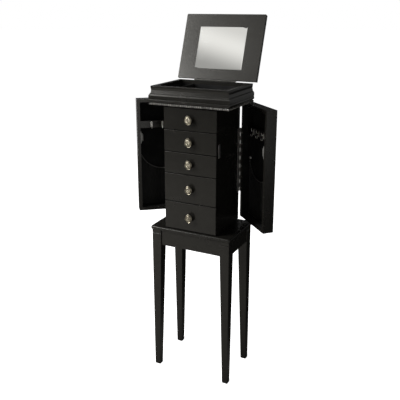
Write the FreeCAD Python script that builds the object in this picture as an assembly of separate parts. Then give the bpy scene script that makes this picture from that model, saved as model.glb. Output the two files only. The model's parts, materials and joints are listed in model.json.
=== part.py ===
import FreeCAD, Part

import math
import os

from FreeCAD import Vector

# Jewelry armoire on a four-legged base: five drawers, two swing-out necklace doors and a
# lift-top tray with a mirror under its lid. Millimetres, +Z up, the front faces -Y.
# The origin is on the floor, in the middle of the base.
# The model stands with its drawers shut, both side doors part open and the lid up.

# ---- driving dimensions ------------------------------------------------------------
TABLE_WIDTH = 288.0
TABLE_DEPTH = 191.0
TABLE_THICKNESS = 13.0
TABLE_TOP = 522.0
TABLE_CORNER = 8.0
TABLE_NOSE = 5.0

LEG_HEAD = 33.0
LEG_FOOT = 20.0
LEG_INSET_X = 4.6
LEG_INSET_Y = 4.2
LEG_EDGE = 1.6
LEG_NOTCH_BELOW_TOP = 12.0
LEG_NOTCH_DEPTH = 1.4

APRON_BOTTOM = 457.0
APRON_THICKNESS = 12.0
APRON_SETBACK = 4.0
BLOCK_REACH = 28.0
BLOCK_BOTTOM = 472.0

CABINET_HALF_WIDTH = 90.0
CABINET_BACK = 97.0
PANEL_THICKNESS = 9.0
BACK_THICKNESS = 5.0
FLOOR_THICKNESS = 8.0
DIVIDER_THICKNESS = 6.0

FRONT_FACE = -86.5
FRONT_THICKNESS = 15.0
FRONT_HALF_WIDTH = 90.5
FRONT_EDGE = 1.2
FRONT_GAP = 2.4
FRONTS_BOTTOM = 524.0
SHALLOW_FRONT = 68.0
DEEP_FRONT = 91.8

CROWN_BOTTOM = 926.0
CROWN_TOP = 985.0
LIP_HALF_WIDTH = 132.5
LIP_FRONT = -94.0
CROWN_THICKNESS = 14.0
ROPE_RADIUS = 3.3
ROPE_HEIGHT = 929.4
TRAY_BOARD = 6.0
TRAY_DIVIDER_X = -72.0
TRAY_DIVIDER_TOP = 974.0
CUSHION_TOP = 953.0

KNOB_FLANGE_RADIUS = 7.0
KNOB_FLANGE = 2.5
KNOB_NECK_RADIUS = 4.5
KNOB_NECK = 6.5
KNOB_HEAD_RADIUS = 13.5
KNOB_HEAD = 8.0
KNOB_WIDTH = 24.3
KNOB_HEIGHT = 29.2

DRAWER_SIDE_CLEARANCE = 1.0
DRAWER_BOARD = 8.0
DRAWER_BOTTOM_BOARD = 3.0
DRAWER_BACK_ROOM = 7.0
DRAWER_SIDE_DROP = 11.0
SLIDE_CLEARANCE = 0.5
BOTTOM_RAISED = 2.0

DOOR_THICKNESS = 36.0
DOOR_LENGTH = 180.5
DOOR_BOTTOM = 532.5
DOOR_TOP = 923.5
DOOR_PANEL = 6.0
DOOR_RIM = 10.5
DOOR_GAP = 3.0
RIGHT_DOOR_OPEN = 46.5
LEFT_DOOR_OPEN = 52.0

HOOK_RAIL_BOTTOM = 821.0
HOOK_RAIL_TOP = 847.0
HOOK_RAIL_FACE = 18.0
HOOK_PLACES = (56.0, 93.0, 130.0)
HOOK_WIRE = 0.95
HOOK_PLATE = 1.2
HOOK_PLATE_WIDTH = 6.4
HOOK_PLATE_HEIGHT = 17.0
HOOK_REACH = 8.5
HOOK_BOWL_RADIUS = 3.2

CATCH_HEIGHT = 793.0
CATCH_DEPTH = 14.0
CATCH_STANDS_PROUD = 1.2
CATCH_LENGTH = 40.0
CATCH_BODY = 27.0
CATCH_WIDTH = 9.0
CATCH_EAR = 2.0
STRIKE_LENGTH = 42.0
STRIKE_WIDTH = 12.0
STRIKE_THICKNESS = 1.0

POUCH_SIDE_TOP = 733.0
POUCH_MIDDLE_TOP = 677.0
POUCH_DEPTH = 11.0

HINGE_KNUCKLE = 13.5
HINGE_RADIUS = 2.7
HINGE_BORE = 1.25
HINGE_PIN = 1.2
HINGE_LEAF = 1.0
DOOR_HINGE_KNUCKLES = 16
DOOR_HINGE_MIDDLE = 729.0
LID_HINGE_KNUCKLES = 11
LID_HINGE_MIDDLE = -4.0

LID_HALF_WIDTH = 142.0
LID_LENGTH = 219.5
LID_THICKNESS = 13.0
LID_CLEARANCE = 0.8
LID_NOSE = 2.5
LID_CORNER = 3.0
LID_LOWER_EDGE = 0.8
LID_OPEN = 110.0
MIRROR_HALF_WIDTH = 84.0
MIRROR_FROM_HINGE = 35.0
MIRROR_LENGTH = 141.0
MIRROR_THICKNESS = 3.0
MIRROR_BEVEL = 3.0
MIRROR_BEVEL_DEPTH = 0.1

# ---- places worked out from them ---------------------------------------------------
LEG_X = TABLE_WIDTH / 2 - LEG_INSET_X
LEG_Y = TABLE_DEPTH / 2 - LEG_INSET_Y
TABLE_UNDERSIDE = TABLE_TOP - TABLE_THICKNESS
CABINET_FRONT = FRONT_FACE + FRONT_THICKNESS
CABINET_INNER = CABINET_HALF_WIDTH - PANEL_THICKNESS
BACK_FACE = CABINET_BACK - 1.0 - BACK_THICKNESS
FRONT_HEIGHTS = (SHALLOW_FRONT, SHALLOW_FRONT, SHALLOW_FRONT, DEEP_FRONT, DEEP_FRONT)
CROWN_INNER_X = LIP_HALF_WIDTH - CROWN_THICKNESS
CROWN_INNER_FRONT = LIP_FRONT + CROWN_THICKNESS
CROWN_INNER_BACK = CABINET_BACK - CROWN_THICKNESS
TRAY_FLOOR = CROWN_BOTTOM + TRAY_BOARD
DOOR_INNER_X = CABINET_HALF_WIDTH + DOOR_GAP
DOOR_BACK = CABINET_BACK
DOOR_AXIS_X = CABINET_HALF_WIDTH + DOOR_GAP / 2
DOOR_AXIS_Y = CABINET_BACK + 3.4
LID_UNDERSIDE = CROWN_TOP + LID_CLEARANCE
LID_BACK = CABINET_BACK + 0.6
LID_AXIS_Y = CABINET_BACK + 3.9
LID_AXIS_Z = LID_UNDERSIDE + 0.8
DOOR_HINGE_LENGTH = DOOR_HINGE_KNUCKLES * HINGE_KNUCKLE
DOOR_HINGE_START = DOOR_HINGE_MIDDLE - DOOR_HINGE_LENGTH / 2
LID_HINGE_LENGTH = LID_HINGE_KNUCKLES * HINGE_KNUCKLE
LID_HINGE_START = LID_HINGE_MIDDLE - LID_HINGE_LENGTH / 2


# ---- plain helpers -----------------------------------------------------------------
def block(x0, x1, y0, y1, z0, z1):
    """A box between two opposite corners, given in any order."""
    low = Vector(min(x0, x1), min(y0, y1), min(z0, z1))
    return Part.makeBox(abs(x1 - x0), abs(y1 - y0), abs(z1 - z0), low)


def prism(points, direction):
    """A flat outline carried straight along a vector."""
    corners = [Vector(*p) for p in points]
    wire = Part.makePolygon(corners + [corners[0]])
    return Part.Face(wire).extrude(Vector(*direction))


def edges_along(shape, axis, tolerance=1e-6):
    """The straight edges of a shape that run along one axis ('x', 'y' or 'z')."""
    found = []
    for edge in shape.Edges:
        run = edge.Vertexes[-1].Point - edge.Vertexes[0].Point
        sides = [abs(getattr(run, other)) for other in "xyz" if other != axis]
        if max(sides) < tolerance and abs(getattr(run, axis)) > tolerance:
            found.append(edge)
    return found


def edges_at_height(shape, z, tolerance=1e-4):
    """The edges that lie flat at one height."""
    return [edge for edge in shape.Edges
            if abs(edge.BoundBox.ZMin - z) < tolerance and abs(edge.BoundBox.ZMax - z) < tolerance]


def group(solids):
    return Part.makeCompound(solids)


def mirrored_x(shape):
    return shape.mirror(Vector(0, 0, 0), Vector(1, 0, 0))


def turned(shape, centre, axis, degrees):
    copy = shape.copy()
    copy.rotate(Vector(*centre), Vector(*axis), degrees)
    return copy


def write(name, shape):
    shape.exportStep("parts/" + name + ".step")


# ---- base --------------------------------------------------------------------------
def rounded_square(x, y, size, radius, z):
    """A closed square outline with round corners; (x, y) is its outer corner, and it grows
    towards the middle of the base."""
    sx = -1 if x > 0 else 1
    sy = -1 if y > 0 else 1
    x0, x1 = sorted((x, x + sx * size))
    y0, y1 = sorted((y, y + sy * size))
    r = radius
    h = r * (1 - math.sqrt(0.5))
    edges = [
        Part.makeLine(Vector(x0 + r, y0, z), Vector(x1 - r, y0, z)),
        Part.Arc(Vector(x1 - r, y0, z), Vector(x1 - h, y0 + h, z), Vector(x1, y0 + r, z)).toShape(),
        Part.makeLine(Vector(x1, y0 + r, z), Vector(x1, y1 - r, z)),
        Part.Arc(Vector(x1, y1 - r, z), Vector(x1 - h, y1 - h, z), Vector(x1 - r, y1, z)).toShape(),
        Part.makeLine(Vector(x1 - r, y1, z), Vector(x0 + r, y1, z)),
        Part.Arc(Vector(x0 + r, y1, z), Vector(x0 + h, y1 - h, z), Vector(x0, y1 - r, z)).toShape(),
        Part.makeLine(Vector(x0, y1 - r, z), Vector(x0, y0 + r, z)),
        Part.Arc(Vector(x0, y0 + r, z), Vector(x0 + h, y0 + h, z), Vector(x0 + r, y0, z)).toShape(),
    ]
    return Part.Wire(edges)


def leg(side_x, side_y):
    """A square leg: straight beside the aprons, then tapered on its two inner faces. A small
    V-notch runs round the head, just below the table top."""
    x = side_x * LEG_X
    y = side_y * LEG_Y
    foot = rounded_square(x, y, LEG_FOOT, LEG_EDGE, 0.0)
    knee = rounded_square(x, y, LEG_HEAD, LEG_EDGE, APRON_BOTTOM)
    head = rounded_square(x, y, LEG_HEAD, LEG_EDGE, TABLE_UNDERSIDE)
    body = Part.makeLoft([foot, knee, head], True, True)
    z = TABLE_UNDERSIDE - LEG_NOTCH_BELOW_TOP
    d = LEG_NOTCH_DEPTH
    reach = LEG_HEAD + 2.0
    notch_x = prism([(x + side_x, y + side_y, z - d - 1), (x + side_x, y + side_y, z + d + 1),
                     (x + side_x, y - side_y * d, z)], (-side_x * reach, 0, 0))
    notch_y = prism([(x + side_x, y + side_y, z - d - 1), (x + side_x, y + side_y, z + d + 1),
                     (x - side_x * d, y + side_y, z)], (0, -side_y * reach, 0))
    return body.cut(notch_x).cut(notch_y)


def table_top():
    x = TABLE_WIDTH / 2
    y = TABLE_DEPTH / 2
    slab = block(-x, x, -y, y, TABLE_UNDERSIDE, TABLE_TOP)
    slab = slab.makeFillet(TABLE_CORNER, edges_along(slab, "z"))
    rims = edges_at_height(slab, TABLE_TOP) + edges_at_height(slab, TABLE_UNDERSIDE)
    return slab.makeFillet(TABLE_NOSE, rims)


def apron_along_x(side_y):
    outer = side_y * (LEG_Y - APRON_SETBACK)
    end = LEG_X - LEG_HEAD
    return block(-end, end, outer, outer - side_y * APRON_THICKNESS, APRON_BOTTOM, TABLE_UNDERSIDE)


def apron_along_y(side_x):
    outer = side_x * (LEG_X - APRON_SETBACK)
    end = LEG_Y - LEG_HEAD
    return block(outer, outer - side_x * APRON_THICKNESS, -end, end, APRON_BOTTOM, TABLE_UNDERSIDE)


def corner_blocks():
    """Four glue blocks, each fitted round a leg's inner corner between two aprons."""
    apron_x = LEG_X - APRON_SETBACK - APRON_THICKNESS
    apron_y = LEG_Y - APRON_SETBACK - APRON_THICKNESS
    leg_x = LEG_X - LEG_HEAD
    leg_y = LEG_Y - LEG_HEAD
    outline = [(leg_x - BLOCK_REACH, apron_y), (leg_x, apron_y), (leg_x, leg_y),
               (apron_x, leg_y), (apron_x, leg_y - BLOCK_REACH)]
    solids = []
    for side_x in (-1, 1):
        for side_y in (-1, 1):
            points = [(side_x * px, side_y * py, BLOCK_BOTTOM) for px, py in outline]
            solids.append(prism(points, (0, 0, TABLE_UNDERSIDE - BLOCK_BOTTOM)))
    return group(solids)


# ---- carcass -----------------------------------------------------------------------
def drawer_spans():
    """Bottom and top height of the five drawer fronts, from the top one down."""
    spans = []
    top = FRONTS_BOTTOM + sum(FRONT_HEIGHTS) + FRONT_GAP * (len(FRONT_HEIGHTS) - 1)
    for height in FRONT_HEIGHTS:
        spans.append((top - height, top))
        top -= height + FRONT_GAP
    return spans


def side_panel():
    return block(CABINET_INNER, CABINET_HALF_WIDTH, CABINET_FRONT, CABINET_BACK,
                 TABLE_TOP, CROWN_BOTTOM)


def back_panel():
    return block(-CABINET_INNER, CABINET_INNER, BACK_FACE, BACK_FACE + BACK_THICKNESS,
                 TABLE_TOP, CROWN_BOTTOM)


def cabinet_floor():
    return block(-CABINET_INNER, CABINET_INNER, CABINET_FRONT, BACK_FACE,
                 TABLE_TOP, TABLE_TOP + FLOOR_THICKNESS)


def drawer_dividers():
    """Shelves centred on the gaps between the fronts; each drawer slides on one."""
    solids = []
    for bottom, _top in drawer_spans()[:-1]:
        middle = bottom - FRONT_GAP / 2
        solids.append(block(-CABINET_INNER, CABINET_INNER, CABINET_FRONT, BACK_FACE,
                            middle - DIVIDER_THICKNESS / 2, middle + DIVIDER_THICKNESS / 2))
    return group(solids)


# ---- drawers -----------------------------------------------------------------------
def drawer_front(bottom, top):
    """An overlay front whose face edges are eased."""
    body = block(-FRONT_HALF_WIDTH, FRONT_HALF_WIDTH, FRONT_FACE, CABINET_FRONT, bottom, top)
    face_edges = [edge for edge in body.Edges if edge.BoundBox.YMax < FRONT_FACE + 0.01]
    return body.makeFillet(FRONT_EDGE, face_edges)


def drawer_box(bottom, top, is_lowest):
    """Two sides, a back and a bottom board behind the front, open at the top."""
    board = DRAWER_BOARD
    back_end = BACK_FACE - DRAWER_BACK_ROOM
    shelf = TABLE_TOP + FLOOR_THICKNESS if is_lowest else bottom - FRONT_GAP / 2 + DIVIDER_THICKNESS / 2
    z0 = shelf + SLIDE_CLEARANCE
    z1 = top - DRAWER_SIDE_DROP
    x = CABINET_INNER - DRAWER_SIDE_CLEARANCE
    sides = [block(side * x, side * (x - board), CABINET_FRONT, back_end, z0, z1) for side in (-1, 1)]
    back = block(board - x, x - board, back_end - board, back_end, z0, z1)
    base = block(board - x, x - board, CABINET_FRONT, back_end - board,
                 z0 + BOTTOM_RAISED, z0 + BOTTOM_RAISED + DRAWER_BOTTOM_BOARD)
    return group(sides + [back, base])


def knob(height):
    """An oval knob on a short neck: a base flange, a waist and a shallow oval head. The head is
    turned round, then drawn out taller than it is wide."""
    forward = Vector(0, -1, 0)
    seat = Vector(0, FRONT_FACE, height)
    flange = Part.makeCylinder(KNOB_FLANGE_RADIUS, KNOB_FLANGE, seat, forward)
    neck = Part.makeCylinder(KNOB_NECK_RADIUS, KNOB_NECK, seat, forward)
    r = KNOB_HEAD_RADIUS
    h = KNOB_HEAD
    back = Vector(0, 0.59 * r, 0)
    shoulder = Vector(0.42 * h, r, 0)
    rim = Vector(0.83 * h, 0.64 * r, 0)
    crest = Vector(h, 0, 0)
    half = [
        Part.makeLine(Vector(0, 0, 0), back),
        Part.Arc(back, Vector(0.18 * h, 0.9 * r, 0), shoulder).toShape(),
        Part.Arc(shoulder, Vector(0.7 * h, 0.89 * r, 0), rim).toShape(),
        Part.Arc(rim, Vector(0.97 * h, 0.33 * r, 0), crest).toShape(),
        Part.makeLine(crest, Vector(0, 0, 0)),
    ]
    head = Part.Face(Part.Wire(half)).revolve(Vector(0, 0, 0), Vector(1, 0, 0), 360)
    oval = FreeCAD.Matrix()
    oval.scale(Vector(1.0, KNOB_WIDTH / (2 * r), KNOB_HEIGHT / (2 * r)))
    head = head.transformGeometry(oval)
    head.rotate(Vector(0, 0, 0), Vector(0, 0, 1), -90)
    head.translate(Vector(0, FRONT_FACE - KNOB_NECK + 0.5, height))
    return flange.fuse([neck, head]).removeSplitter()


# ---- lift-top tray -----------------------------------------------------------------
def crown_profile():
    """Outline of the moulding as (outward offset from the lip, height): a lip that leans in, a
    tight cove, a round shoulder, a fascia, a quirk, a flat bead and the rope's ledge."""
    inner = -CROWN_THICKNESS
    top = CROWN_TOP
    low = CROWN_BOTTOM
    return [
        ("line", (inner, low), (1.0, low)),
        ("line", (1.0, low), (1.0, low + 10.5)),
        ("line", (1.0, low + 10.5), (5.1, low + 10.5)),
        ("arc", (5.1, low + 10.5), (5.6, low + 14.0), (5.1, low + 17.5)),
        ("line", (5.1, low + 17.5), (4.1, low + 18.3)),
        ("line", (4.1, low + 18.3), (4.1, low + 20.0)),
        ("line", (4.1, low + 20.0), (5.2, low + 20.8)),
        ("line", (5.2, low + 20.8), (5.2, low + 28.0)),
        ("arc", (5.2, low + 28.0), (4.25, low + 32.15), (1.4, low + 35.4)),
        ("arc", (1.4, low + 35.4), (0.5, low + 36.3), (0.1, low + 37.4)),
        ("line", (0.1, low + 37.4), (-1.4, top - 13.0)),
        ("line", (-1.4, top - 13.0), (-0.2, top - 6.0)),
        ("line", (-0.2, top - 6.0), (0.0, top - 0.8)),
        ("arc", (0.0, top - 0.8), (-0.25, top - 0.25), (-0.8, top)),
        ("line", (-0.8, top), (inner, top)),
        ("line", (inner, top), (inner, low)),
    ]


def moulding(place, run):
    """Carry the crown profile along one side. place(offset, height) gives a point in space."""
    edges = []
    for kind, *points in crown_profile():
        corners = [place(*p) for p in points]
        if kind == "line":
            edges.append(Part.makeLine(*corners))
        else:
            edges.append(Part.Arc(*corners).toShape())
    return Part.Face(Part.Wire(edges)).extrude(Vector(*run))


def mitre_front():
    """Region that the front moulding keeps between its two mitres."""
    spare = 6.0
    points = [(-LIP_HALF_WIDTH - spare, LIP_FRONT - spare),
              (LIP_HALF_WIDTH + spare, LIP_FRONT - spare),
              (CROWN_INNER_X, CROWN_INNER_FRONT), (-CROWN_INNER_X, CROWN_INNER_FRONT)]
    return prism([(x, y, CROWN_BOTTOM - 1) for x, y in points], (0, 0, CROWN_TOP - CROWN_BOTTOM + 2))


def mitre_right():
    """Region that the right moulding keeps, from the front mitre to the back."""
    spare = 6.0
    points = [(LIP_HALF_WIDTH + spare, LIP_FRONT - spare), (LIP_HALF_WIDTH + spare, CABINET_BACK),
              (CROWN_INNER_X, CABINET_BACK), (CROWN_INNER_X, CROWN_INNER_FRONT)]
    return prism([(x, y, CROWN_BOTTOM - 1) for x, y in points], (0, 0, CROWN_TOP - CROWN_BOTTOM + 2))


def crown_front():
    reach = LIP_HALF_WIDTH + 8.0
    bar = moulding(lambda o, z: Vector(-reach, LIP_FRONT - o, z), (2 * reach, 0, 0))
    return bar.common(mitre_front())


def crown_right():
    start = LIP_FRONT - 8.0
    bar = moulding(lambda o, z: Vector(LIP_HALF_WIDTH + o, start, z), (0, CABINET_BACK - start, 0))
    return bar.common(mitre_right())


def crown_back():
    return block(-CROWN_INNER_X, CROWN_INNER_X, CROWN_INNER_BACK, CABINET_BACK, CROWN_BOTTOM, CROWN_TOP)


def rope_trim():
    """A half-round bead on the ledge under the moulding, along the front and both sides."""
    reach = LIP_HALF_WIDTH + 8.0
    start = LIP_FRONT - 8.0
    front_face = LIP_FRONT - 1.0
    side_face = LIP_HALF_WIDTH + 1.0
    front = Part.makeCylinder(ROPE_RADIUS, 2 * reach, Vector(-reach, front_face, ROPE_HEIGHT),
                              Vector(1, 0, 0))
    behind = block(-reach, reach, front_face, front_face + 10, CROWN_BOTTOM - 1, CROWN_BOTTOM + 10)
    front = front.common(mitre_front()).cut(behind)
    right = Part.makeCylinder(ROPE_RADIUS, CABINET_BACK - start, Vector(side_face, start, ROPE_HEIGHT),
                              Vector(0, 1, 0))
    inside = block(side_face - 10, side_face, start, CABINET_BACK, CROWN_BOTTOM - 1, CROWN_BOTTOM + 10)
    right = right.common(mitre_right()).cut(inside)
    return group([front, right, mirrored_x(right)])


def tray_floor():
    return block(-CROWN_INNER_X, CROWN_INNER_X, CROWN_INNER_FRONT, CROWN_INNER_BACK,
                 CROWN_BOTTOM, TRAY_FLOOR)


def tray_divider():
    return block(TRAY_DIVIDER_X - 2, TRAY_DIVIDER_X + 2, CROWN_INNER_FRONT, CROWN_INNER_BACK,
                 TRAY_FLOOR, TRAY_DIVIDER_TOP)


def ring_cushion():
    clear = 0.5
    return block(TRAY_DIVIDER_X + 2 + clear, CROWN_INNER_X - clear, CROWN_INNER_FRONT + clear,
                 CROWN_INNER_BACK - clear, TRAY_FLOOR, CUSHION_TOP)


# ---- piano hinges ------------------------------------------------------------------
def knuckle_row(count, first, owner_parity):
    """Start heights and lengths of every second knuckle of a row."""
    gap = 0.3
    return [(first + i * HINGE_KNUCKLE + gap / 2, HINGE_KNUCKLE - gap)
            for i in range(count) if i % 2 == owner_parity]


def door_leaf(on_door):
    """One leaf of the right door's hinge, drawn with the door shut. The cabinet's leaf lies on
    the side panel and the door's leaf lies on the door's inner edge."""
    start = DOOR_HINGE_START
    plate_x = DOOR_INNER_X - HINGE_LEAF if on_door else CABINET_HALF_WIDTH
    body = block(plate_x, plate_x + HINGE_LEAF, DOOR_AXIS_Y - 17.0, DOOR_AXIS_Y - 3.3,
                 start, start + DOOR_HINGE_LENGTH)
    parts = []
    for z, run in knuckle_row(DOOR_HINGE_KNUCKLES, start, 1 if on_door else 0):
        parts.append(block(plate_x, plate_x + HINGE_LEAF, DOOR_AXIS_Y - 4.0, DOOR_AXIS_Y, z, z + run))
        parts.append(Part.makeCylinder(HINGE_RADIUS, run, Vector(DOOR_AXIS_X, DOOR_AXIS_Y, z)))
    body = body.fuse(parts)
    bore = Part.makeCylinder(HINGE_BORE, DOOR_HINGE_LENGTH + 2,
                             Vector(DOOR_AXIS_X, DOOR_AXIS_Y, start - 1))
    return body.cut(bore).removeSplitter()


def door_pin():
    return Part.makeCylinder(HINGE_PIN, DOOR_HINGE_LENGTH,
                             Vector(DOOR_AXIS_X, DOOR_AXIS_Y, DOOR_HINGE_START))


def lid_leaf(on_lid):
    """One leaf of the lid's hinge, drawn with the lid shut. The crown's leaf lies on the back
    rail and the lid's leaf on the lid's back edge."""
    start = LID_HINGE_START
    if on_lid:
        plate_y = LID_BACK
        z0, z1 = LID_AXIS_Z + 2.2, LID_UNDERSIDE + LID_THICKNESS - LID_NOSE
        tab_z0, tab_z1 = LID_AXIS_Z + 1.5, LID_AXIS_Z + HINGE_RADIUS
    else:
        plate_y = CABINET_BACK
        z0, z1 = CROWN_TOP - 15.0, LID_AXIS_Z - 1.6
        tab_z0, tab_z1 = LID_AXIS_Z - HINGE_RADIUS, LID_AXIS_Z - 1.5
    body = block(start, start + LID_HINGE_LENGTH, plate_y, plate_y + HINGE_LEAF, z0, z1)
    parts = []
    for x, run in knuckle_row(LID_HINGE_KNUCKLES, start, 1 if on_lid else 0):
        parts.append(block(x, x + run, plate_y, LID_AXIS_Y - 1.0, tab_z0, tab_z1))
        parts.append(Part.makeCylinder(HINGE_RADIUS, run, Vector(x, LID_AXIS_Y, LID_AXIS_Z),
                                       Vector(1, 0, 0)))
    body = body.fuse(parts)
    bore = Part.makeCylinder(HINGE_BORE, LID_HINGE_LENGTH + 2,
                             Vector(start - 1, LID_AXIS_Y, LID_AXIS_Z), Vector(1, 0, 0))
    return body.cut(bore).removeSplitter()


def lid_pin():
    return Part.makeCylinder(HINGE_PIN, LID_HINGE_LENGTH,
                             Vector(LID_HINGE_START, LID_AXIS_Y, LID_AXIS_Z), Vector(1, 0, 0))


# ---- lid ---------------------------------------------------------------------------
def mirror_seat(spare, depth):
    """The mirror's place in the lid's underside, grown by a clearance."""
    y1 = LID_BACK - MIRROR_FROM_HINGE
    return block(-MIRROR_HALF_WIDTH - spare, MIRROR_HALF_WIDTH + spare,
                 y1 - MIRROR_LENGTH - spare, y1 + spare, LID_UNDERSIDE, LID_UNDERSIDE + depth)


def lid_panel():
    board = block(-LID_HALF_WIDTH, LID_HALF_WIDTH, LID_BACK - LID_LENGTH, LID_BACK,
                  LID_UNDERSIDE, LID_UNDERSIDE + LID_THICKNESS)
    front_corners = [edge for edge in edges_along(board, "z") if edge.BoundBox.YMax < 0]
    board = board.makeFillet(LID_CORNER, front_corners)
    board = board.makeFillet(LID_NOSE, edges_at_height(board, LID_UNDERSIDE + LID_THICKNESS))
    bottom = [edge for edge in edges_at_height(board, LID_UNDERSIDE)
              if edge.BoundBox.YMin < LID_BACK - 1.0]
    board = board.makeFillet(LID_LOWER_EDGE, bottom)
    return board.cut(mirror_seat(0.3, MIRROR_THICKNESS + 0.2))


def mirror():
    """A plate of glass with a bevelled face, let into the lid flush with its underside."""
    glass = mirror_seat(0.0, MIRROR_THICKNESS)
    glass.translate(Vector(0, 0, 0.2))
    low = LID_UNDERSIDE + 0.2
    y1 = LID_BACK - MIRROR_FROM_HINGE
    y0 = y1 - MIRROR_LENGTH
    x = MIRROR_HALF_WIDTH
    d = MIRROR_BEVEL_DEPTH
    b = MIRROR_BEVEL
    wedge_y = [(-x - 1, y0, low), (-x - 1, y0 + b, low), (-x - 1, y0, low + d)]
    wedge_x = [(-x, y0 - 1, low), (-x + b, y0 - 1, low), (-x, y0 - 1, low + d)]
    front = prism(wedge_y, (2 * x + 2, 0, 0))
    left = prism(wedge_x, (0, MIRROR_LENGTH + 2, 0))
    middle = Vector(0, (y0 + y1) / 2, 0)
    back = front.mirror(middle, Vector(0, 1, 0))
    return glass.cut(front).cut(back).cut(left).cut(mirrored_x(left))


# ---- doors -------------------------------------------------------------------------
# Each door piece is drawn as on the right door, shut: "along" is measured forwards from the
# hinge edge, "into" outwards from the inner face.
def door_block(along0, along1, into0, into1, z0, z1):
    return block(DOOR_INNER_X + into0, DOOR_INNER_X + into1, DOOR_BACK - along0, DOOR_BACK - along1, z0, z1)


def door_panel():
    depth = DOOR_THICKNESS - DOOR_PANEL
    body = door_block(0, DOOR_LENGTH, depth, DOOR_THICKNESS, DOOR_BOTTOM, DOOR_TOP)
    outer = [edge for edge in body.Edges if edge.BoundBox.XMin > DOOR_INNER_X + DOOR_THICKNESS - 0.01]
    return body.makeFillet(2.0, outer)


def door_frame():
    """Two stiles and two rails round the recess, each its own board."""
    depth = DOOR_THICKNESS - DOOR_PANEL
    rim = DOOR_RIM
    boards = [
        door_block(0, rim, 0, depth, DOOR_BOTTOM, DOOR_TOP),
        door_block(DOOR_LENGTH - rim, DOOR_LENGTH, 0, depth, DOOR_BOTTOM, DOOR_TOP),
        door_block(rim, DOOR_LENGTH - rim, 0, depth, DOOR_BOTTOM, DOOR_BOTTOM + rim),
        door_block(rim, DOOR_LENGTH - rim, 0, depth, DOOR_TOP - rim, DOOR_TOP),
    ]
    return group(boards)


def hook_rail():
    depth = DOOR_THICKNESS - DOOR_PANEL
    body = door_block(DOOR_RIM, DOOR_LENGTH - DOOR_RIM, HOOK_RAIL_FACE, depth,
                      HOOK_RAIL_BOTTOM, HOOK_RAIL_TOP)
    face = [edge for edge in body.Edges if edge.BoundBox.XMax < DOOR_INNER_X + HOOK_RAIL_FACE + 0.01
            and edge.BoundBox.YLength > 1.0]
    return body.makeFillet(1.5, face)


def wire_arm(along, points):
    """A round wire bent through line and arc stretches; points are (kind, (into, height), ...)."""
    y = DOOR_BACK - along

    def place(into, height):
        return Vector(DOOR_INNER_X + into, y, height)

    edges = []
    for kind, *stops in points:
        corners = [place(*stop) for stop in stops]
        edges.append(Part.makeLine(*corners) if kind == "line" else Part.Arc(*corners).toShape())
    path = Part.Wire(edges)
    start = place(*points[0][1])
    tangent = path.Edges[0].tangentAt(path.Edges[0].FirstParameter)
    section = Part.Wire(Part.makeCircle(HOOK_WIRE, start, tangent))
    arm = path.makePipeShell([section], True, False)
    tip = Part.makeSphere(HOOK_WIRE + 0.5, place(*points[-1][-1]))
    return arm.fuse(tip)


def double_hook(along):
    """A back plate with an upturned arm above and a J-shaped arm below."""
    face = HOOK_RAIL_FACE
    middle = (HOOK_RAIL_BOTTOM + HOOK_RAIL_TOP) / 2
    half_w = HOOK_PLATE_WIDTH / 2
    half_h = HOOK_PLATE_HEIGHT / 2
    plate = door_block(along - half_w, along + half_w, face - HOOK_PLATE, face,
                       middle - half_h, middle + half_h)
    root = face - HOOK_PLATE / 2
    upper_z = middle + 2.0
    bend = face - 3.2
    reach = face - HOOK_REACH
    upper = wire_arm(along, [
        ("line", (root, upper_z), (bend, upper_z)),
        ("arc", (bend, upper_z), (reach + 1.6, upper_z + 1.6), (reach, upper_z + 5.3)),
        ("line", (reach, upper_z + 5.3), (reach, upper_z + 8.5)),
    ])
    lower_z = middle - 4.0
    drop = face - 3.4
    bowl = lower_z - 5.6
    r = HOOK_BOWL_RADIUS
    lower = wire_arm(along, [
        ("line", (root, lower_z), (drop + 1.8, lower_z)),
        ("arc", (drop + 1.8, lower_z), (drop + 0.53, lower_z - 0.53), (drop, lower_z - 1.8)),
        ("line", (drop, lower_z - 1.8), (drop, bowl)),
        ("arc", (drop, bowl), (drop - r, bowl - r), (drop - 2 * r, bowl)),
        ("line", (drop - 2 * r, bowl), (drop - 2 * r, bowl + 2.2)),
    ])
    return plate.fuse([upper, lower])


def hooks():
    return group([double_hook(along) for along in HOOK_PLACES])


def catch():
    """A magnetic catch on the front stile: a tapered housing with two screw ears and a steel
    pole plate that faces the cabinet."""
    wall = DOOR_LENGTH - DOOR_RIM
    x0 = DOOR_INNER_X - CATCH_STANDS_PROUD
    half = CATCH_LENGTH / 2
    body = CATCH_BODY / 2
    outline = [(wall, -half), (wall - CATCH_EAR, -half), (wall - CATCH_WIDTH, -body),
               (wall - CATCH_WIDTH, body), (wall - CATCH_EAR, half), (wall, half)]
    points = [(x0, DOOR_BACK - along, CATCH_HEIGHT + z) for along, z in outline]
    return prism(points, (CATCH_DEPTH, 0, 0))


def pouch():
    """The space that the gathered pouch fills, from the bottom rail to a slack top edge that
    hangs in a curve between the stiles."""
    clear = 0.6
    near = DOOR_RIM + clear
    far = DOOR_LENGTH - DOOR_RIM - clear
    low = DOOR_BOTTOM + DOOR_RIM + clear
    back = DOOR_INNER_X + DOOR_THICKNESS - DOOR_PANEL - 0.4

    def place(along, height):
        return Vector(back, DOOR_BACK - along, height)

    outline = Part.Wire([
        Part.Arc(place(near, POUCH_SIDE_TOP), place((near + far) / 2, POUCH_MIDDLE_TOP),
                 place(far, POUCH_SIDE_TOP)).toShape(),
        Part.makeLine(place(far, POUCH_SIDE_TOP), place(far, low)),
        Part.makeLine(place(far, low), place(near, low)),
        Part.makeLine(place(near, low), place(near, POUCH_SIDE_TOP)),
    ])
    return Part.Face(outline).extrude(Vector(0.4 - POUCH_DEPTH, 0, 0))


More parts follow.
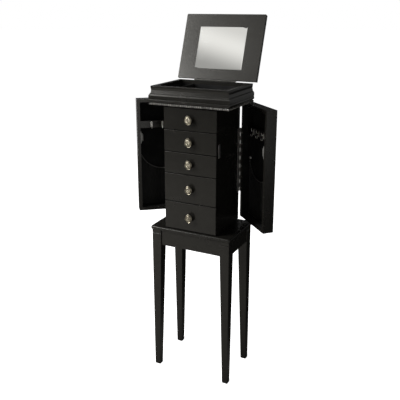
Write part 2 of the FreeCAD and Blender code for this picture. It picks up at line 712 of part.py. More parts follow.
def strike_plate():
    """A steel plate with two countersunk screws, near the front of the side panel."""
    y0 = CABINET_FRONT + 2.0
    face = CABINET_HALF_WIDTH + STRIKE_THICKNESS
    body = block(CABINET_HALF_WIDTH, face, y0, y0 + STRIKE_WIDTH,
                 CATCH_HEIGHT - STRIKE_LENGTH / 2, CATCH_HEIGHT + STRIKE_LENGTH / 2)
    return body.makeFillet(0.4, [edge for edge in body.Edges if edge.BoundBox.XMin > face - 0.1])


DOOR_PIECES = {
    "panel": door_panel,
    "frame": door_frame,
    "hook_rail": hook_rail,
    "hooks": hooks,
    "catch": catch,
    "pouch": pouch,
    "hinge_leaf": lambda: door_leaf(True),
}


def write_doors():
    """Swing each shut-door piece about its hinge to where the door stands."""
    for name, make in DOOR_PIECES.items():
        piece = make()
        centre = (DOOR_AXIS_X, DOOR_AXIS_Y, 0)
        write("right_door_" + name, turned(piece, centre, (0, 0, 1), RIGHT_DOOR_OPEN))
        write("left_door_" + name, mirrored_x(turned(piece, centre, (0, 0, 1), LEFT_DOOR_OPEN)))


def write_lid():
    """Swing the shut-lid pieces up about the lid's hinge."""
    pieces = {"lid_panel": lid_panel(), "mirror": mirror(), "lid_hinge_leaf": lid_leaf(True)}
    for name, piece in pieces.items():
        write(name, turned(piece, (0, LID_AXIS_Y, LID_AXIS_Z), (-1, 0, 0), LID_OPEN))


def write_base():
    write("table_top", table_top())
    for word_y, side_y in (("front", -1), ("back", 1)):
        for word_x, side_x in (("left", -1), ("right", 1)):
            write("leg_" + word_y + "_" + word_x, leg(side_x, side_y))
        write("apron_" + word_y, apron_along_x(side_y))
    write("apron_left", apron_along_y(-1))
    write("apron_right", apron_along_y(1))
    write("corner_blocks", corner_blocks())


def write_carcass():
    write("side_panel_right", side_panel())
    write("side_panel_left", mirrored_x(side_panel()))
    write("back_panel", back_panel())
    write("cabinet_floor", cabinet_floor())
    write("drawer_dividers", drawer_dividers())
    plate = strike_plate()
    write("strike_plates", group([plate, mirrored_x(plate)]))
    leaf = door_leaf(False)
    write("hinge_leaf_right", leaf)
    write("hinge_leaf_left", mirrored_x(leaf))
    pin = door_pin()
    write("hinge_pins", group([pin, mirrored_x(pin), lid_pin()]))


def write_drawers():
    spans = drawer_spans()
    for number, (bottom, top) in enumerate(spans, start=1):
        name = "drawer_" + str(number)
        write(name + "_front", drawer_front(bottom, top))
        write(name + "_box", drawer_box(bottom, top, number == len(spans)))
        write(name + "_knob", knob((bottom + top) / 2))


def write_tray():
    write("crown_front", crown_front())
    write("crown_right", crown_right())
    write("crown_left", mirrored_x(crown_right()))
    write("crown_back", crown_back())
    write("rope_trim", rope_trim())
    write("tray_floor", tray_floor())
    write("tray_divider", tray_divider())
    write("ring_cushion", ring_cushion())
    write("crown_hinge_leaf", lid_leaf(False))


os.makedirs("parts", exist_ok=True)
write_base()
write_carcass()
write_drawers()
write_tray()
write_lid()
write_doors()
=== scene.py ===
import json
import math

import bpy
import numpy as np
from bpy.props import FloatProperty, FloatVectorProperty, IntProperty, PointerProperty
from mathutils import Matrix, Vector


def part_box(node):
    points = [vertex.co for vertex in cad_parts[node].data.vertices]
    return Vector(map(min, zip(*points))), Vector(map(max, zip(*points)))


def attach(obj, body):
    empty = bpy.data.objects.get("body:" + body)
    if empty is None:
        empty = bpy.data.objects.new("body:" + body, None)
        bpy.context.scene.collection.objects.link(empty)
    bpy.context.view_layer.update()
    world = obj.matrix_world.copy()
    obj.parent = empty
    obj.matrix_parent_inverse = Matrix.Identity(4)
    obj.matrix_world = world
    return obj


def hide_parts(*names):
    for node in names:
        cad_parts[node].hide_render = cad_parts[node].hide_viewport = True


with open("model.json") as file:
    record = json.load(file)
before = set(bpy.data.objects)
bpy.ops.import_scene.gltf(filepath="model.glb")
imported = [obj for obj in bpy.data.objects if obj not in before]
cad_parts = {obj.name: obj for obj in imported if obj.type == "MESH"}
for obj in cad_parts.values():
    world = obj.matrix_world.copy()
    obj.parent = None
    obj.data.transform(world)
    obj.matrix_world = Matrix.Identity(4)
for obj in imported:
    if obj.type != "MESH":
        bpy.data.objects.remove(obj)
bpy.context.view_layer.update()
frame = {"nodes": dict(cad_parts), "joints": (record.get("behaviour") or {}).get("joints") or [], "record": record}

bl_info = {
    "name": "Jewelry Armoire",
    "version": (1, 0, 0),
    "blender": (4, 5, 0),
    "location": "View3D > Sidebar > Armoire",
    "description": "Finishes and fittings for a jewelry armoire on a four-legged base",
    "category": "Add Mesh",
}

MM = 0.001
TAU = 2 * math.pi
SLOT_OF = {part["node"]: part["material_slot"] for part in frame["record"]["subparts"]}
DRAWERS = range(1, 6)
DOORS = ("right_door", "left_door")


# ---- surfaces ------------------------------------------------------------------------
# A shell is (points, faces): points is n x 3 in metres, faces is m x 4 point numbers, and a
# triangle repeats its last one.
def grid_faces(rows, columns, ring=False):
    """Quads between neighbouring points of a grid; a ring joins the last column to the first."""
    i, j = np.meshgrid(np.arange(rows - 1), np.arange(columns if ring else columns - 1), indexing="ij")
    k = (j + 1) % columns
    quads = [i * columns + j, i * columns + k, (i + 1) * columns + k, (i + 1) * columns + j]
    return np.stack(quads, -1).reshape(-1, 4)


def turned_over(faces):
    """The same faces seen from their other side."""
    triangle = (faces[:, 2] == faces[:, 3])[:, None]
    return np.where(triangle, faces[:, [0, 2, 1, 1]], faces[:, [0, 3, 2, 1]])


def facing_out(points, faces):
    """Turns a closed shell's faces over if the volume they enclose counts as negative."""
    a, b, c, d = (points[faces[:, k]] for k in range(4))
    volume = (a * np.cross(b, c)).sum() + (a * np.cross(c, d)).sum()
    return points, (turned_over(faces) if volume < 0 else faces)


def skin(rings):
    """A closed shell through a stack of rings: quads between neighbours, and a fan to the middle
    of the first and of the last ring."""
    rings = np.asarray(rings, float)
    rows, columns = rings.shape[:2]
    count = rows * columns
    points = np.concatenate([rings.reshape(-1, 3), rings[:1].mean(1), rings[-1:].mean(1)])
    j = np.arange(columns)
    k = (j + 1) % columns
    first = np.stack([k, j, np.full(columns, count), np.full(columns, count)], -1)
    top = count - columns
    last = np.stack([top + j, top + k, np.full(columns, count + 1), np.full(columns, count + 1)], -1)
    return facing_out(points, np.concatenate([grid_faces(rows, columns, ring=True), first, last]))


def joined(shells, place=None):
    """One shell out of several. place moves every point, and a shell that comes out mirrored is
    turned over."""
    points, faces, start = [], [], 0
    for shell_points, shell_faces in shells:
        if place is not None:
            shell_points, shell_faces = facing_out(place(shell_points), shell_faces)
        points.append(shell_points)
        faces.append(shell_faces + start)
        start += len(shell_points)
    return np.concatenate(points), np.concatenate(faces)


def turned(profile, sides=24, oval=(1.0, 1.0)):
    """Rings round Z: each (radius, height) of the profile, with x and y scaled for an oval."""
    profile = np.asarray(profile, float)
    angle = np.arange(sides) * TAU / sides
    radius = profile[:, :1]
    height = profile[:, 1:] + 0 * angle
    return np.stack([radius * np.cos(angle) * oval[0], radius * np.sin(angle) * oval[1], height], -1)


def round_cornered(low, high, corner, insets, heights, steps=4):
    """Rings of a rectangle with round corners, one for each inset and height. A point of a corner
    is its centre plus (corner radius - inset) times (cosine, sine)."""
    middle = (np.asarray(low, float) + np.asarray(high, float)) / 2
    half = (np.asarray(high, float) - np.asarray(low, float)) / 2
    quarter = np.linspace(0, math.pi / 2, steps + 1)
    angle = (np.arange(4)[:, None] * math.pi / 2 + quarter).ravel()
    side_x = np.repeat([1, -1, -1, 1], steps + 1)
    side_y = np.repeat([1, 1, -1, -1], steps + 1)
    radius = corner - np.asarray(insets, float)[:, None]
    x = middle[0] + side_x * (half[0] - corner) + radius * np.cos(angle)
    y = middle[1] + side_y * (half[1] - corner) + radius * np.sin(angle)
    return np.stack([x, y, np.asarray(heights, float)[:, None] + 0 * angle], -1)


def slab(low, high, corner, edge):
    """A plate with round corners whose rims are quarter circles: at the angle t from the face the
    outline is drawn in by edge times (1 - sin t) and lifted by edge times (1 - cos t)."""
    t = np.linspace(0, math.pi / 2, 4)
    drawn_in = edge * (1 - np.sin(t))
    lift = edge * (1 - np.cos(t))
    insets = np.concatenate([drawn_in, drawn_in[::-1]])
    heights = np.concatenate([low[2] + lift, high[2] - lift[::-1]])
    return skin(round_cornered(low, high, max(corner, edge + 0.05 * MM), insets, heights))


def lining(low, high, thickness, corner):
    """A thin open box: up the outside, over the rim, down the inside and round into the floor."""
    soft = 1.2 * thickness
    rim, floor = high[2], low[2] + thickness
    insets = [0, 0, 0.3 * thickness, 0.8 * thickness, thickness, thickness, thickness + 0.3 * soft,
              thickness + soft]
    heights = [low[2], rim - 0.3 * thickness, rim, rim, rim - 0.3 * thickness, floor + soft,
               floor + 0.3 * soft, floor]
    return skin(round_cornered(low, high, corner + thickness + soft, insets, heights))


def bent(path, radius, sides):
    """Rings round a path that bends in the XZ plane: at each point, radius times (cosine, sine)
    across its direction."""
    run = np.gradient(path, axis=0)
    run /= np.linalg.norm(run, axis=1)[:, None]
    across = np.cross(run, (0.0, 1.0, 0.0))
    across /= np.linalg.norm(across, axis=1)[:, None]
    other = np.cross(run, across)
    angle = (np.arange(sides) * TAU / sides)[None, :, None]
    ring = np.cos(angle) * across[:, None] + np.sin(angle) * other[:, None]
    return path[:, None] + radius * ring


def standing(points, origin, out, up):
    """Places a shell drawn round Z so that its Z points along out and its Y along up."""
    out = np.asarray(out, float) / np.linalg.norm(out)
    up = np.asarray(up, float) / np.linalg.norm(up)
    side = np.cross(up, out)
    return np.asarray(origin) + points[:, :1] * side + points[:, 1:2] * up + points[:, 2:] * out


def make_piece(name, shell, body, material, stands_for=(), sharp=35.0):
    """Puts a shell into a mesh object that rides on a body and shows one material."""
    points, faces = shell
    mesh = bpy.data.meshes.new(name)
    rows = faces.tolist()
    mesh.from_pydata(points.tolist(), [], [row[:3] if row[2] == row[3] else row for row in rows])
    mesh.polygons.foreach_set("use_smooth", np.ones(len(rows), bool))
    mesh.set_sharp_from_angle(angle=math.radians(sharp))
    mesh.materials.append(material)
    mesh.update()
    piece = bpy.data.objects.new(name, mesh)
    bpy.context.collection.objects.link(piece)
    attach(piece, body)
    if stands_for:
        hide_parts(*stands_for)
    return piece


def give_attribute(piece, name, values):
    """Stores one number for each point, for a material to read."""
    attribute = piece.data.attributes.new(name, "FLOAT", "POINT")
    attribute.data.foreach_set("value", np.asarray(values, np.float32))


def give_uv(piece, uv):
    """Stores flat cloth coordinates, in metres, at each corner of each face."""
    mesh = piece.data
    corner = np.zeros(len(mesh.loops), np.int32)
    mesh.loops.foreach_get("vertex_index", corner)
    layer = mesh.uv_layers.new(name="Cloth")
    layer.data.foreach_set("uv", np.asarray(uv, np.float32)[corner].ravel())


# ---- hinged bodies -------------------------------------------------------------------
def node_points(name):
    mesh = frame["nodes"][name].data
    points = np.zeros(len(mesh.vertices) * 3)
    mesh.vertices.foreach_get("co", points)
    return points.reshape(-1, 3)


class Swing:
    """Carries places between the shut and the shown state of a hinged body. A body is shut at its
    joint's lower limit, so the turn between the two is that limit's angle about the axis."""

    def __init__(self, joint_name):
        joint = next(j for j in frame["joints"] if j["name"] == joint_name)
        angle = -math.radians(joint["range_deg"][0])
        x, y, z = joint["axis"]
        cross = np.array([[0, -z, y], [z, 0, -x], [-y, x, 0]], float)
        self.pivot = np.array(joint["pos_m"], float)
        self.turn = np.eye(3) + math.sin(angle) * cross + (1 - math.cos(angle)) * cross @ cross

    def shown(self, points):
        return (points - self.pivot) @ self.turn.T + self.pivot

    def shut_box(self, node):
        """Lowest and highest corner of a node when its body is shut."""
        points = (node_points(node) - self.pivot) @ self.turn + self.pivot
        return points.min(0), points.max(0)


class Door:
    """Places on a door: how far along from the hinge edge, how far in from the inner face, and
    the height. The left door is the right one mirrored."""

    def __init__(self, body):
        self.body = body
        self.side = 1 if body == "right_door" else -1
        self.swing = Swing(body + "_hinge")
        low, high = self.swing.shut_box(body + "_frame")
        self.inner = low[0] if self.side > 0 else -high[0]
        self.back = high[1]
        self.length = high[1] - low[1]
        self.low, self.high = low[2], high[2]

    def __call__(self, points):
        along, into, height = np.asarray(points, float).T
        shut = np.stack([self.side * (self.inner + into), self.back - along, height], -1)
        return self.swing.shown(shut)

    def span(self, node):
        """Lowest and highest (along, into, height) of one of the door's nodes."""
        low, high = self.swing.shut_box(self.body + "_" + node)
        near = low[0] if self.side > 0 else -high[0]
        far = high[0] if self.side > 0 else -low[0]
        return (np.array([self.back - high[1], near - self.inner, low[2]]),
                np.array([self.back - low[1], far - self.inner, high[2]]))


# ---- materials -----------------------------------------------------------------------
def add_node(tree, kind, inputs=None, **settings):
    """A shader node with its settings, whose inputs are values or other nodes' sockets."""
    made = tree.nodes.new(kind)
    for key, value in settings.items():
        setattr(made, key, value)
    for key, value in (inputs or {}).items():
        if isinstance(value, bpy.types.NodeSocket):
            tree.links.new(value, made.inputs[key])
        else:
            made.inputs[key].default_value = value
    return made


def calculate(tree, operation, a, b=0.0, clamp=False):
    made = add_node(tree, "ShaderNodeMath", {0: a, 1: b}, operation=operation, use_clamp=clamp)
    return made.outputs[0]


def rescaled(tree, value, low, high, new_low=0.0, new_high=1.0):
    inputs = {"Value": value, "From Min": low, "From Max": high, "To Min": new_low, "To Max": new_high}
    return add_node(tree, "ShaderNodeMapRange", inputs, interpolation_type="SMOOTHSTEP").outputs["Result"]


def blended(tree, share, first, second):
    inputs = {"Factor": share, "A": first, "B": second}
    return add_node(tree, "ShaderNodeMix", inputs, data_type="RGBA").outputs["Result"]


def noise(tree, vector, scale, detail=2.0):
    inputs = {"Vector": vector, "Scale": scale, "Detail": detail}
    return add_node(tree, "ShaderNodeTexNoise", inputs).outputs["Fac"]


def effect(name, inputs, outputs):
    """An empty node group with named sockets: inputs are (name, kind, default)."""
    group = bpy.data.node_groups.new(name, "ShaderNodeTree")
    for label, kind, default in inputs:
        made = group.interface.new_socket(label, in_out="INPUT", socket_type="NodeSocket" + kind)
        if default is not None:
            made.default_value = default
    for label, kind in outputs:
        group.interface.new_socket(label, in_out="OUTPUT", socket_type="NodeSocket" + kind)
    return group, group.nodes.new("NodeGroupInput").outputs, group.nodes.new("NodeGroupOutput").inputs


def lacquer_effect():
    """Satin paint over open-pored wood. Fine pores run along the grain, a slow haze changes the
    gloss and a faint ripple stands for the sprayed coat."""
    group, given, out = effect(
        "Lacquer",
        [("Place", "Vector", None), ("Grain", "Vector", None), ("Paint", "Color", (0.01, 0.01, 0.01, 1)),
         ("Gloss", "Float", 0.35), ("Pores", "Float", 0.5)],
        [("Color", "Color"), ("Roughness", "Float"), ("Height", "Float")])
    pores = rescaled(group, noise(group, given["Grain"], 420.0, 4.0), 0.36, 0.56)
    streak = noise(group, given["Grain"], 60.0, 3.0)
    haze = noise(group, given["Place"], 11.0, 3.0)
    ripple = noise(group, given["Place"], 330.0, 1.0)
    dust = rescaled(group, noise(group, given["Place"], 38.0, 5.0), 0.45, 0.9)
    thin_paint, pale_dust = (0.02, 0.019, 0.016, 1), (0.09, 0.088, 0.08, 1)
    streaked = blended(group, calculate(group, "MULTIPLY", streak, 0.4), given["Paint"], thin_paint)
    dusty = blended(group, calculate(group, "MULTIPLY", dust, 0.04), streaked, pale_dust)
    group.links.new(dusty, out["Color"])
    sheen = calculate(group, "MULTIPLY_ADD", haze, 0.06)
    sheen.node.inputs[2].default_value = -0.03
    rough = calculate(group, "ADD", given["Gloss"], sheen)
    rough = calculate(group, "ADD", rough, calculate(group, "MULTIPLY", dust, 0.02), clamp=True)
    group.links.new(rough, out["Roughness"])
    depth = calculate(group, "MULTIPLY", pores, given["Pores"])
    height = calculate(group, "ADD", depth, calculate(group, "MULTIPLY", ripple, 0.2))
    group.links.new(height, out["Height"])
    return group


def tarnish_effect():
    """Aged plate: dark where its mask input is high, as patina in the recesses and, where a caller
    sets it so, as painted shade; with slow blotches and fine scratches in the gloss.
    """
    group, given, out = effect(
        "Tarnish",
        [("Place", "Vector", None), ("Bright", "Color", (0.7, 0.6, 0.4, 1)),
         ("Dull", "Color", (0.1, 0.08, 0.05, 1)), ("Hollow and shade", "Float", 0.0), ("Polish", "Float", 0.25)],
        [("Color", "Color"), ("Roughness", "Float"), ("Height", "Float")])
    blotch = rescaled(group, noise(group, given["Place"], 240.0, 4.0), 0.42, 0.7, 0.0, 0.45)
    fine = noise(group, given["Place"], 2600.0, 2.0)
    share = calculate(group, "MAXIMUM", blotch, given["Hollow and shade"])
    group.links.new(blended(group, share, given["Bright"], given["Dull"]), out["Color"])
    rough = calculate(group, "ADD", given["Polish"], calculate(group, "MULTIPLY", share, 0.35))
    rough = calculate(group, "ADD", rough, calculate(group, "MULTIPLY", fine, 0.08), clamp=True)
    group.links.new(rough, out["Roughness"])
    group.links.new(fine, out["Height"])
    return group


def pile_effect():
    """Short pile, as on felt and velvet: fine specks for the fibres, and slow patches where the
    pile is brushed another way."""
    group, given, out = effect(
        "Pile",
        [("Place", "Vector", None), ("Cloth", "Color", (0.02, 0.02, 0.02, 1)),
         ("Brushed", "Color", (0.05, 0.05, 0.05, 1))],
        [("Color", "Color"), ("Height", "Float")])
    fibre = noise(group, given["Place"], 1900.0, 3.0)
    brushed = rescaled(group, noise(group, given["Place"], 26.0, 4.0), 0.4, 0.72)
    share = calculate(group, "MULTIPLY", brushed, calculate(group, "ADD", fibre, 0.1))
    group.links.new(blended(group, share, given["Cloth"], given["Brushed"]), out["Color"])
    group.links.new(fibre, out["Height"])
    return group


def weave_effect():
    """Plain weave on the cloth's own coordinates: where the warp's wave is higher it shows, and
    elsewhere the weft does."""
    group, given, out = effect(
        "Weave",
        [("Cloth place", "Vector", None), ("Threads", "Float", 160.0)],
        [("Height", "Float"), ("Shade", "Float")])
    waves = []
    for direction in ("X", "Y"):
        inputs = {"Vector": given["Cloth place"], "Scale": given["Threads"]}
        wave = add_node(group, "ShaderNodeTexWave", inputs, bands_direction=direction)
        waves.append(wave.outputs["Fac"])
    group.links.new(calculate(group, "MAXIMUM", *waves), out["Height"])
    group.links.new(calculate(group, "MULTIPLY", *waves), out["Shade"])
    return group


def new_material(name, metallic=0.0, **sockets):
    """A material with a Principled BSDF whose plain values are set on its own sockets."""
    material = bpy.data.materials.new(name)
    material.use_nodes = True
    tree = material.node_tree
    shader = tree.nodes["Principled BSDF"]
    shader.inputs["Metallic"].default_value = metallic
    for label, value in sockets.items():
        shader.inputs[label.replace("_", " ")].default_value = value
    return material, tree, shader


def finish_with(tree, shader, group, inputs, strength, distance, color=True):
    """Places an effect in a material and joins its outputs to the shader, the height through a
    bump."""
    made = add_node(tree, "ShaderNodeGroup", node_tree=group)
    for key, value in inputs.items():
        if isinstance(value, bpy.types.NodeSocket):
            tree.links.new(value, made.inputs[key])
        else:
            made.inputs[key].default_value = value
    if color:
        tree.links.new(made.outputs["Color"], shader.inputs["Base Color"])
    if "Roughness" in made.outputs:
        tree.links.new(made.outputs["Roughness"], shader.inputs["Roughness"])
    bump = add_node(tree, "ShaderNodeBump",
                    {"Height": made.outputs["Height"], "Strength": strength, "Distance": distance})
    tree.links.new(bump.outputs["Normal"], shader.inputs["Normal"])
    return made


def place_of(tree, scale=(1.0, 1.0, 1.0)):
    """Object coordinates, drawn out along one way by a scale below 1."""
    coordinates = add_node(tree, "ShaderNodeTexCoord").outputs["Object"]
    if scale == (1.0, 1.0, 1.0):
        return coordinates
    return add_node(tree, "ShaderNodeMapping", {"Vector": coordinates, "Scale": scale}).outputs["Vector"]


def opaque(color):
    return (*color[:3], 1.0)


class Finishes:
    """The object's materials, made once from the settings."""

    def __init__(self, settings):
        self.lacquer = lacquer_effect()
        self.tarnish = tarnish_effect()
        self.pile = pile_effect()
        self.weave = weave_effect()
        stretch = {"x": (0.04, 1.0, 1.0), "y": (1.0, 0.04, 1.0), "z": (1.0, 1.0, 0.04)}
        self.paint = {way: self.painted_wood("Black paint, grain along " + way.upper(), scale, settings)
                      for way, scale in stretch.items()}
        # The rope's paint is lighter on its crests: a painted highlight.
        self.rope = self.rope_with_painted_highlight(settings)
        self.pine = self.bare_pine()
        self.velvet = self.piled("Black velvet", settings.velvet_color, 0.2)
        self.felt = self.piled("Black felt", settings.felt_color, 0.12)
        self.pouch = self.gathered_cloth("Gathered pouch cloth", settings.pouch_color)
        # The piping is the pouch cloth painted lighter: a painted highlight along the elastic edge.
        self.piping = self.gathered_cloth("Pouch piping", settings.piping_highlight_color)
        self.knob = self.metal("Antique brass knob", settings.knob_color, (0.05, 0.042, 0.03, 1), 0.2,
                               hollows_and_shade=True)
        self.nickel = self.metal("Polished nickel", (0.95, 0.93, 0.88, 1), (0.7, 0.67, 0.6, 1), 0.3)
        self.steel = self.metal("Hinge steel", (0.72, 0.71, 0.68, 1), (0.3, 0.29, 0.27, 1), 0.38)
        # A darker copy of the hinge steel: painted shade for the hinge leaves that sit in shade.
        self.painted_shade_steel = self.metal("Hinge steel in painted shade", (0.1, 0.098, 0.09, 1), (0.03, 0.03, 0.028, 1), 0.3)
        self.magnet = self.metal("Magnet pole steel", (0.35, 0.34, 0.33, 1), (0.12, 0.12, 0.12, 1), 0.35)
        self.catch = self.catch_housing()
        self.mirror = self.mirror_glass()

    def painted_wood(self, name, scale, settings):
        material, tree, shader = new_material(
            name, Specular_IOR_Level=0.45, Specular_Tint=(1.0, 0.98, 0.92, 1.0), Coat_Weight=0.1,
            Coat_Roughness=0.18)
        finish_with(tree, shader, self.lacquer,
                    {"Place": place_of(tree), "Grain": place_of(tree, scale),
                     "Paint": opaque(settings.paint_color), "Gloss": settings.paint_roughness,
                     "Pores": settings.paint_pores}, 0.08, 0.0004)
        return material

    def rope_with_painted_highlight(self, settings):
        """Black paint, lighter in patches on the crests of the strands: a painted highlight."""
        material, tree, shader = new_material("Rope with painted highlight", Specular_IOR_Level=0.5)
        made = finish_with(tree, shader, self.lacquer,
                           {"Place": place_of(tree), "Grain": place_of(tree, (1.0, 1.0, 1.0)),
                            "Paint": opaque(settings.paint_color), "Gloss": 0.33, "Pores": 0.2},
                           0.1, 0.0003)
        crest = add_node(tree, "ShaderNodeAttribute", attribute_name="crest").outputs["Fac"]
        patchy = rescaled(tree, noise(tree, place_of(tree), 170.0, 3.0), 0.3, 0.6)
        # Painted highlight: in patches the crests take the light rope colour.
        crest_highlight = calculate(tree, "MULTIPLY", crest, patchy)
        color = blended(tree, crest_highlight, made.outputs["Color"], opaque(settings.rope_highlight_color))
        tree.links.new(color, shader.inputs["Base Color"])
        return material

    def bare_pine(self):
        material, tree, shader = new_material("Bare pine", Specular_IOR_Level=0.3)
        finish_with(tree, shader, self.lacquer,
                    {"Place": place_of(tree), "Grain": place_of(tree, (1.0, 1.0, 0.05)),
                     "Gloss": 0.7, "Pores": 0.6}, 0.3, 0.0005, color=False)
        ring = rescaled(tree, noise(tree, place_of(tree, (1.0, 1.0, 0.07)), 90.0, 3.0), 0.35, 0.7)
        color = blended(tree, ring, (0.5, 0.35, 0.19, 1), (0.3, 0.17, 0.075, 1))
        tree.links.new(color, shader.inputs["Base Color"])
        return material

    def piled(self, name, color, sheen):
        material, tree, shader = new_material(
            name, Roughness=0.9, Specular_IOR_Level=0.15, Sheen_Weight=sheen, Sheen_Roughness=0.4,
            Sheen_Tint=(0.6, 0.6, 0.6, 1.0))
        brushed = opaque([min(1.0, 2.2 * c) for c in color[:3]])
        finish_with(tree, shader, self.pile,
                    {"Place": place_of(tree), "Cloth": opaque(color), "Brushed": brushed}, 0.5, 0.0004)
        return material

    def gathered_cloth(self, name, cloth):
        material, tree, shader = new_material(
            name, Roughness=0.62, Specular_IOR_Level=0.25, Sheen_Weight=0.2, Sheen_Roughness=0.35)
        uv = add_node(tree, "ShaderNodeUVMap", uv_map="Cloth").outputs["UV"]
        made = add_node(tree, "ShaderNodeGroup", node_tree=self.weave)
        tree.links.new(uv, made.inputs["Cloth place"])
        made.inputs["Threads"].default_value = 190.0
        lighter = opaque([min(1.0, 1.8 * c) for c in cloth])
        color = blended(tree, made.outputs["Shade"], opaque(cloth), lighter)
        tree.links.new(color, shader.inputs["Base Color"])
        inputs = {"Height": made.outputs["Height"], "Strength": 0.4, "Distance": 0.0003}
        bump = add_node(tree, "ShaderNodeBump", inputs)
        tree.links.new(bump.outputs["Normal"], shader.inputs["Normal"])
        return material

    def metal(self, name, bright, dull, polish, hollows_and_shade=False):
        material, tree, shader = new_material(name, metallic=1.0)
        inputs = {"Place": place_of(tree), "Bright": opaque(bright), "Dull": dull, "Polish": polish}
        # The knob's mask darkens its recesses as patina and its back, neck and flange as painted shade.
        if hollows_and_shade:
            inputs["Hollow and shade"] = add_node(tree, "ShaderNodeAttribute", attribute_name="hollow_and_shade").outputs["Fac"]
        finish_with(tree, shader, self.tarnish, inputs, 0.06, 0.0002)
        return material

    def catch_housing(self):
        material, tree, shader = new_material("Catch plastic", Specular_IOR_Level=0.4)
        cloud = noise(tree, place_of(tree), 160.0, 3.0)
        color = blended(tree, cloud, (0.13, 0.128, 0.12, 1), (0.18, 0.176, 0.166, 1))
        tree.links.new(color, shader.inputs["Base Color"])
        tree.links.new(rescaled(tree, cloud, 0.3, 0.7, 0.38, 0.55), shader.inputs["Roughness"])
        return material

    def mirror_glass(self):
        material, tree, shader = new_material("Mirror", metallic=1.0)
        shader.inputs["Base Color"].default_value = (0.93, 0.94, 0.935, 1.0)
        smear = noise(tree, place_of(tree), 22.0, 4.0)
        tree.links.new(rescaled(tree, smear, 0.45, 0.8, 0.012, 0.05), shader.inputs["Roughness"])
        return material


_finishes = []


def finishes(context):
    """The materials, made at the first call."""
    if not _finishes:
        _finishes.append(Finishes(context.scene.armoire))
    return _finishes[0]


# ---- settings ------------------------------------------------------------------------
def color_setting(name, description, default):
    return FloatVectorProperty(name=name, description=description, default=tuple(default[:3]),
                               min=0.0, max=1.0, size=3, subtype="COLOR")


def length_setting(name, description, default):
    return FloatProperty(name=name, description=description, default=default, min=0.0, unit="LENGTH",
                         subtype="DISTANCE")


class ArmoireSettings(bpy.types.PropertyGroup):
    """Sizes and colours of the finishes and fittings."""

    paint_color: color_setting("Paint", "Colour of the satin paint", (0.0088, 0.0083, 0.0071))
    paint_roughness: FloatProperty(name="Paint roughness", description="Gloss of the paint, 0 is a mirror",
                                   default=0.26, min=0.0, max=1.0, subtype="FACTOR")
    paint_pores: FloatProperty(name="Open pores", description="How much of the grain shows through",
                               default=0.5, min=0.0, max=1.0, subtype="FACTOR")
    # Light colour of the rope's crests: a painted highlight.
    rope_highlight_color: color_setting("Rope with painted highlight", "Colour of the painted highlight on the rope's crests", (0.46, 0.44, 0.4))
    rope_pitch: length_setting("Rope pitch", "Distance from one strand to the next", 6.75 * MM)
    rope_relief: FloatProperty(name="Rope relief", description="Depth between strands over the radius",
                               default=0.62, min=0.0, max=0.8, subtype="FACTOR")
    knob_color: color_setting("Knobs", "Colour of the knobs' high places", (0.6, 0.545, 0.42))
    knob_leaves: IntProperty(name="Leaves", description="Leaves round a knob's face", default=6, min=3,
                             max=12)
    velvet_color: color_setting("Velvet", "Colour of the ring rolls", (0.012, 0.012, 0.0115))
    felt_color: color_setting("Felt", "Colour of the linings", (0.008, 0.008, 0.0078))
    roll_count: IntProperty(name="Ring rolls", description="Rows of padded rolls in the tray", default=6,
                            min=2, max=12)
    pouch_color: color_setting("Pouch", "Colour of the gathered pouches", (0.008, 0.008, 0.0075))
    # Lighter than the pouch cloth: a painted highlight along the piped elastic edge.
    piping_highlight_color: color_setting("Piping", "Colour of the pouches' piped edge", (0.07, 0.069, 0.065))
    pouch_pleats: IntProperty(name="Pleats", description="Pleats across a pouch", default=17, min=4, max=40)
    pouch_fullness: FloatProperty(name="Pouch fullness", description="Flat width over hung width",
                                  default=1.2, min=1.0, max=2.0)
    piping_radius: length_setting("Piping radius", "Radius of the pouches' piped edge", 1.8 * MM)
    screw_radius: length_setting("Screw heads", "Radius of the hinge screws' heads", 2.6 * MM)
    floor_color: color_setting("Floor", "Colour of the studio floor", (0.86, 0.86, 0.855))
    key_power: FloatProperty(name="Key light", description="Power of the large soft light",
                             default=102.0, min=0.0, unit="POWER")
    lens: FloatProperty(name="Lens", description="Focal length of the camera", default=52.62, min=1.0,
                        subtype="DISTANCE_CAMERA")


# ---- the wood and the fittings from the frame ----------------------------------------
GRAIN_ALONG_Z = ("leg_", "side_panel", "back_panel", "right_door_", "left_door_")
GRAIN_ALONG_Y = ("apron_left", "apron_right", "crown_left", "crown_right", "tray_divider")
# Hinge leaves that show dark between the parts take the darker copy of the hinge steel: painted shade.
PAINTED_SHADE_LEAVES = ("lid_hinge_leaf", "crown_hinge_leaf", "right_door_hinge_leaf", "left_door_hinge_leaf")


def way_of_grain(node):
    if node.endswith("hook_rail"):
        return "x"
    if node.startswith(GRAIN_ALONG_Z):
        return "z"
    return "y" if node.startswith(GRAIN_ALONG_Y) else "x"


class ARMOIRE_OT_finish_frame(bpy.types.Operator):
    """Gives every wooden, metal and glass part of the frame its finish"""

    bl_idname = "armoire.finish_frame"
    bl_label = "Finish the Frame"

    def execute(self, context):
        made = finishes(context)
        by_slot = {"bare_wood": made.pine, "rope_paint": made.rope, "velvet": made.velvet,
                   "pouch_cloth": made.pouch, "hinge_steel": made.steel, "hook_nickel": made.nickel,
                   "knob_metal": made.knob, "catch_plastic": made.catch, "mirror_glass": made.mirror}
        for name, node in frame["nodes"].items():
            material = by_slot.get(SLOT_OF[name]) or made.paint[way_of_grain(name)]
            # Painted shade: these leaves get the darker copy of the hinge steel.
            if name in PAINTED_SHADE_LEAVES:
                material = made.painted_shade_steel
            for place in node.material_slots:
                place.link = "OBJECT"
                place.material = material
        return {"FINISHED"}


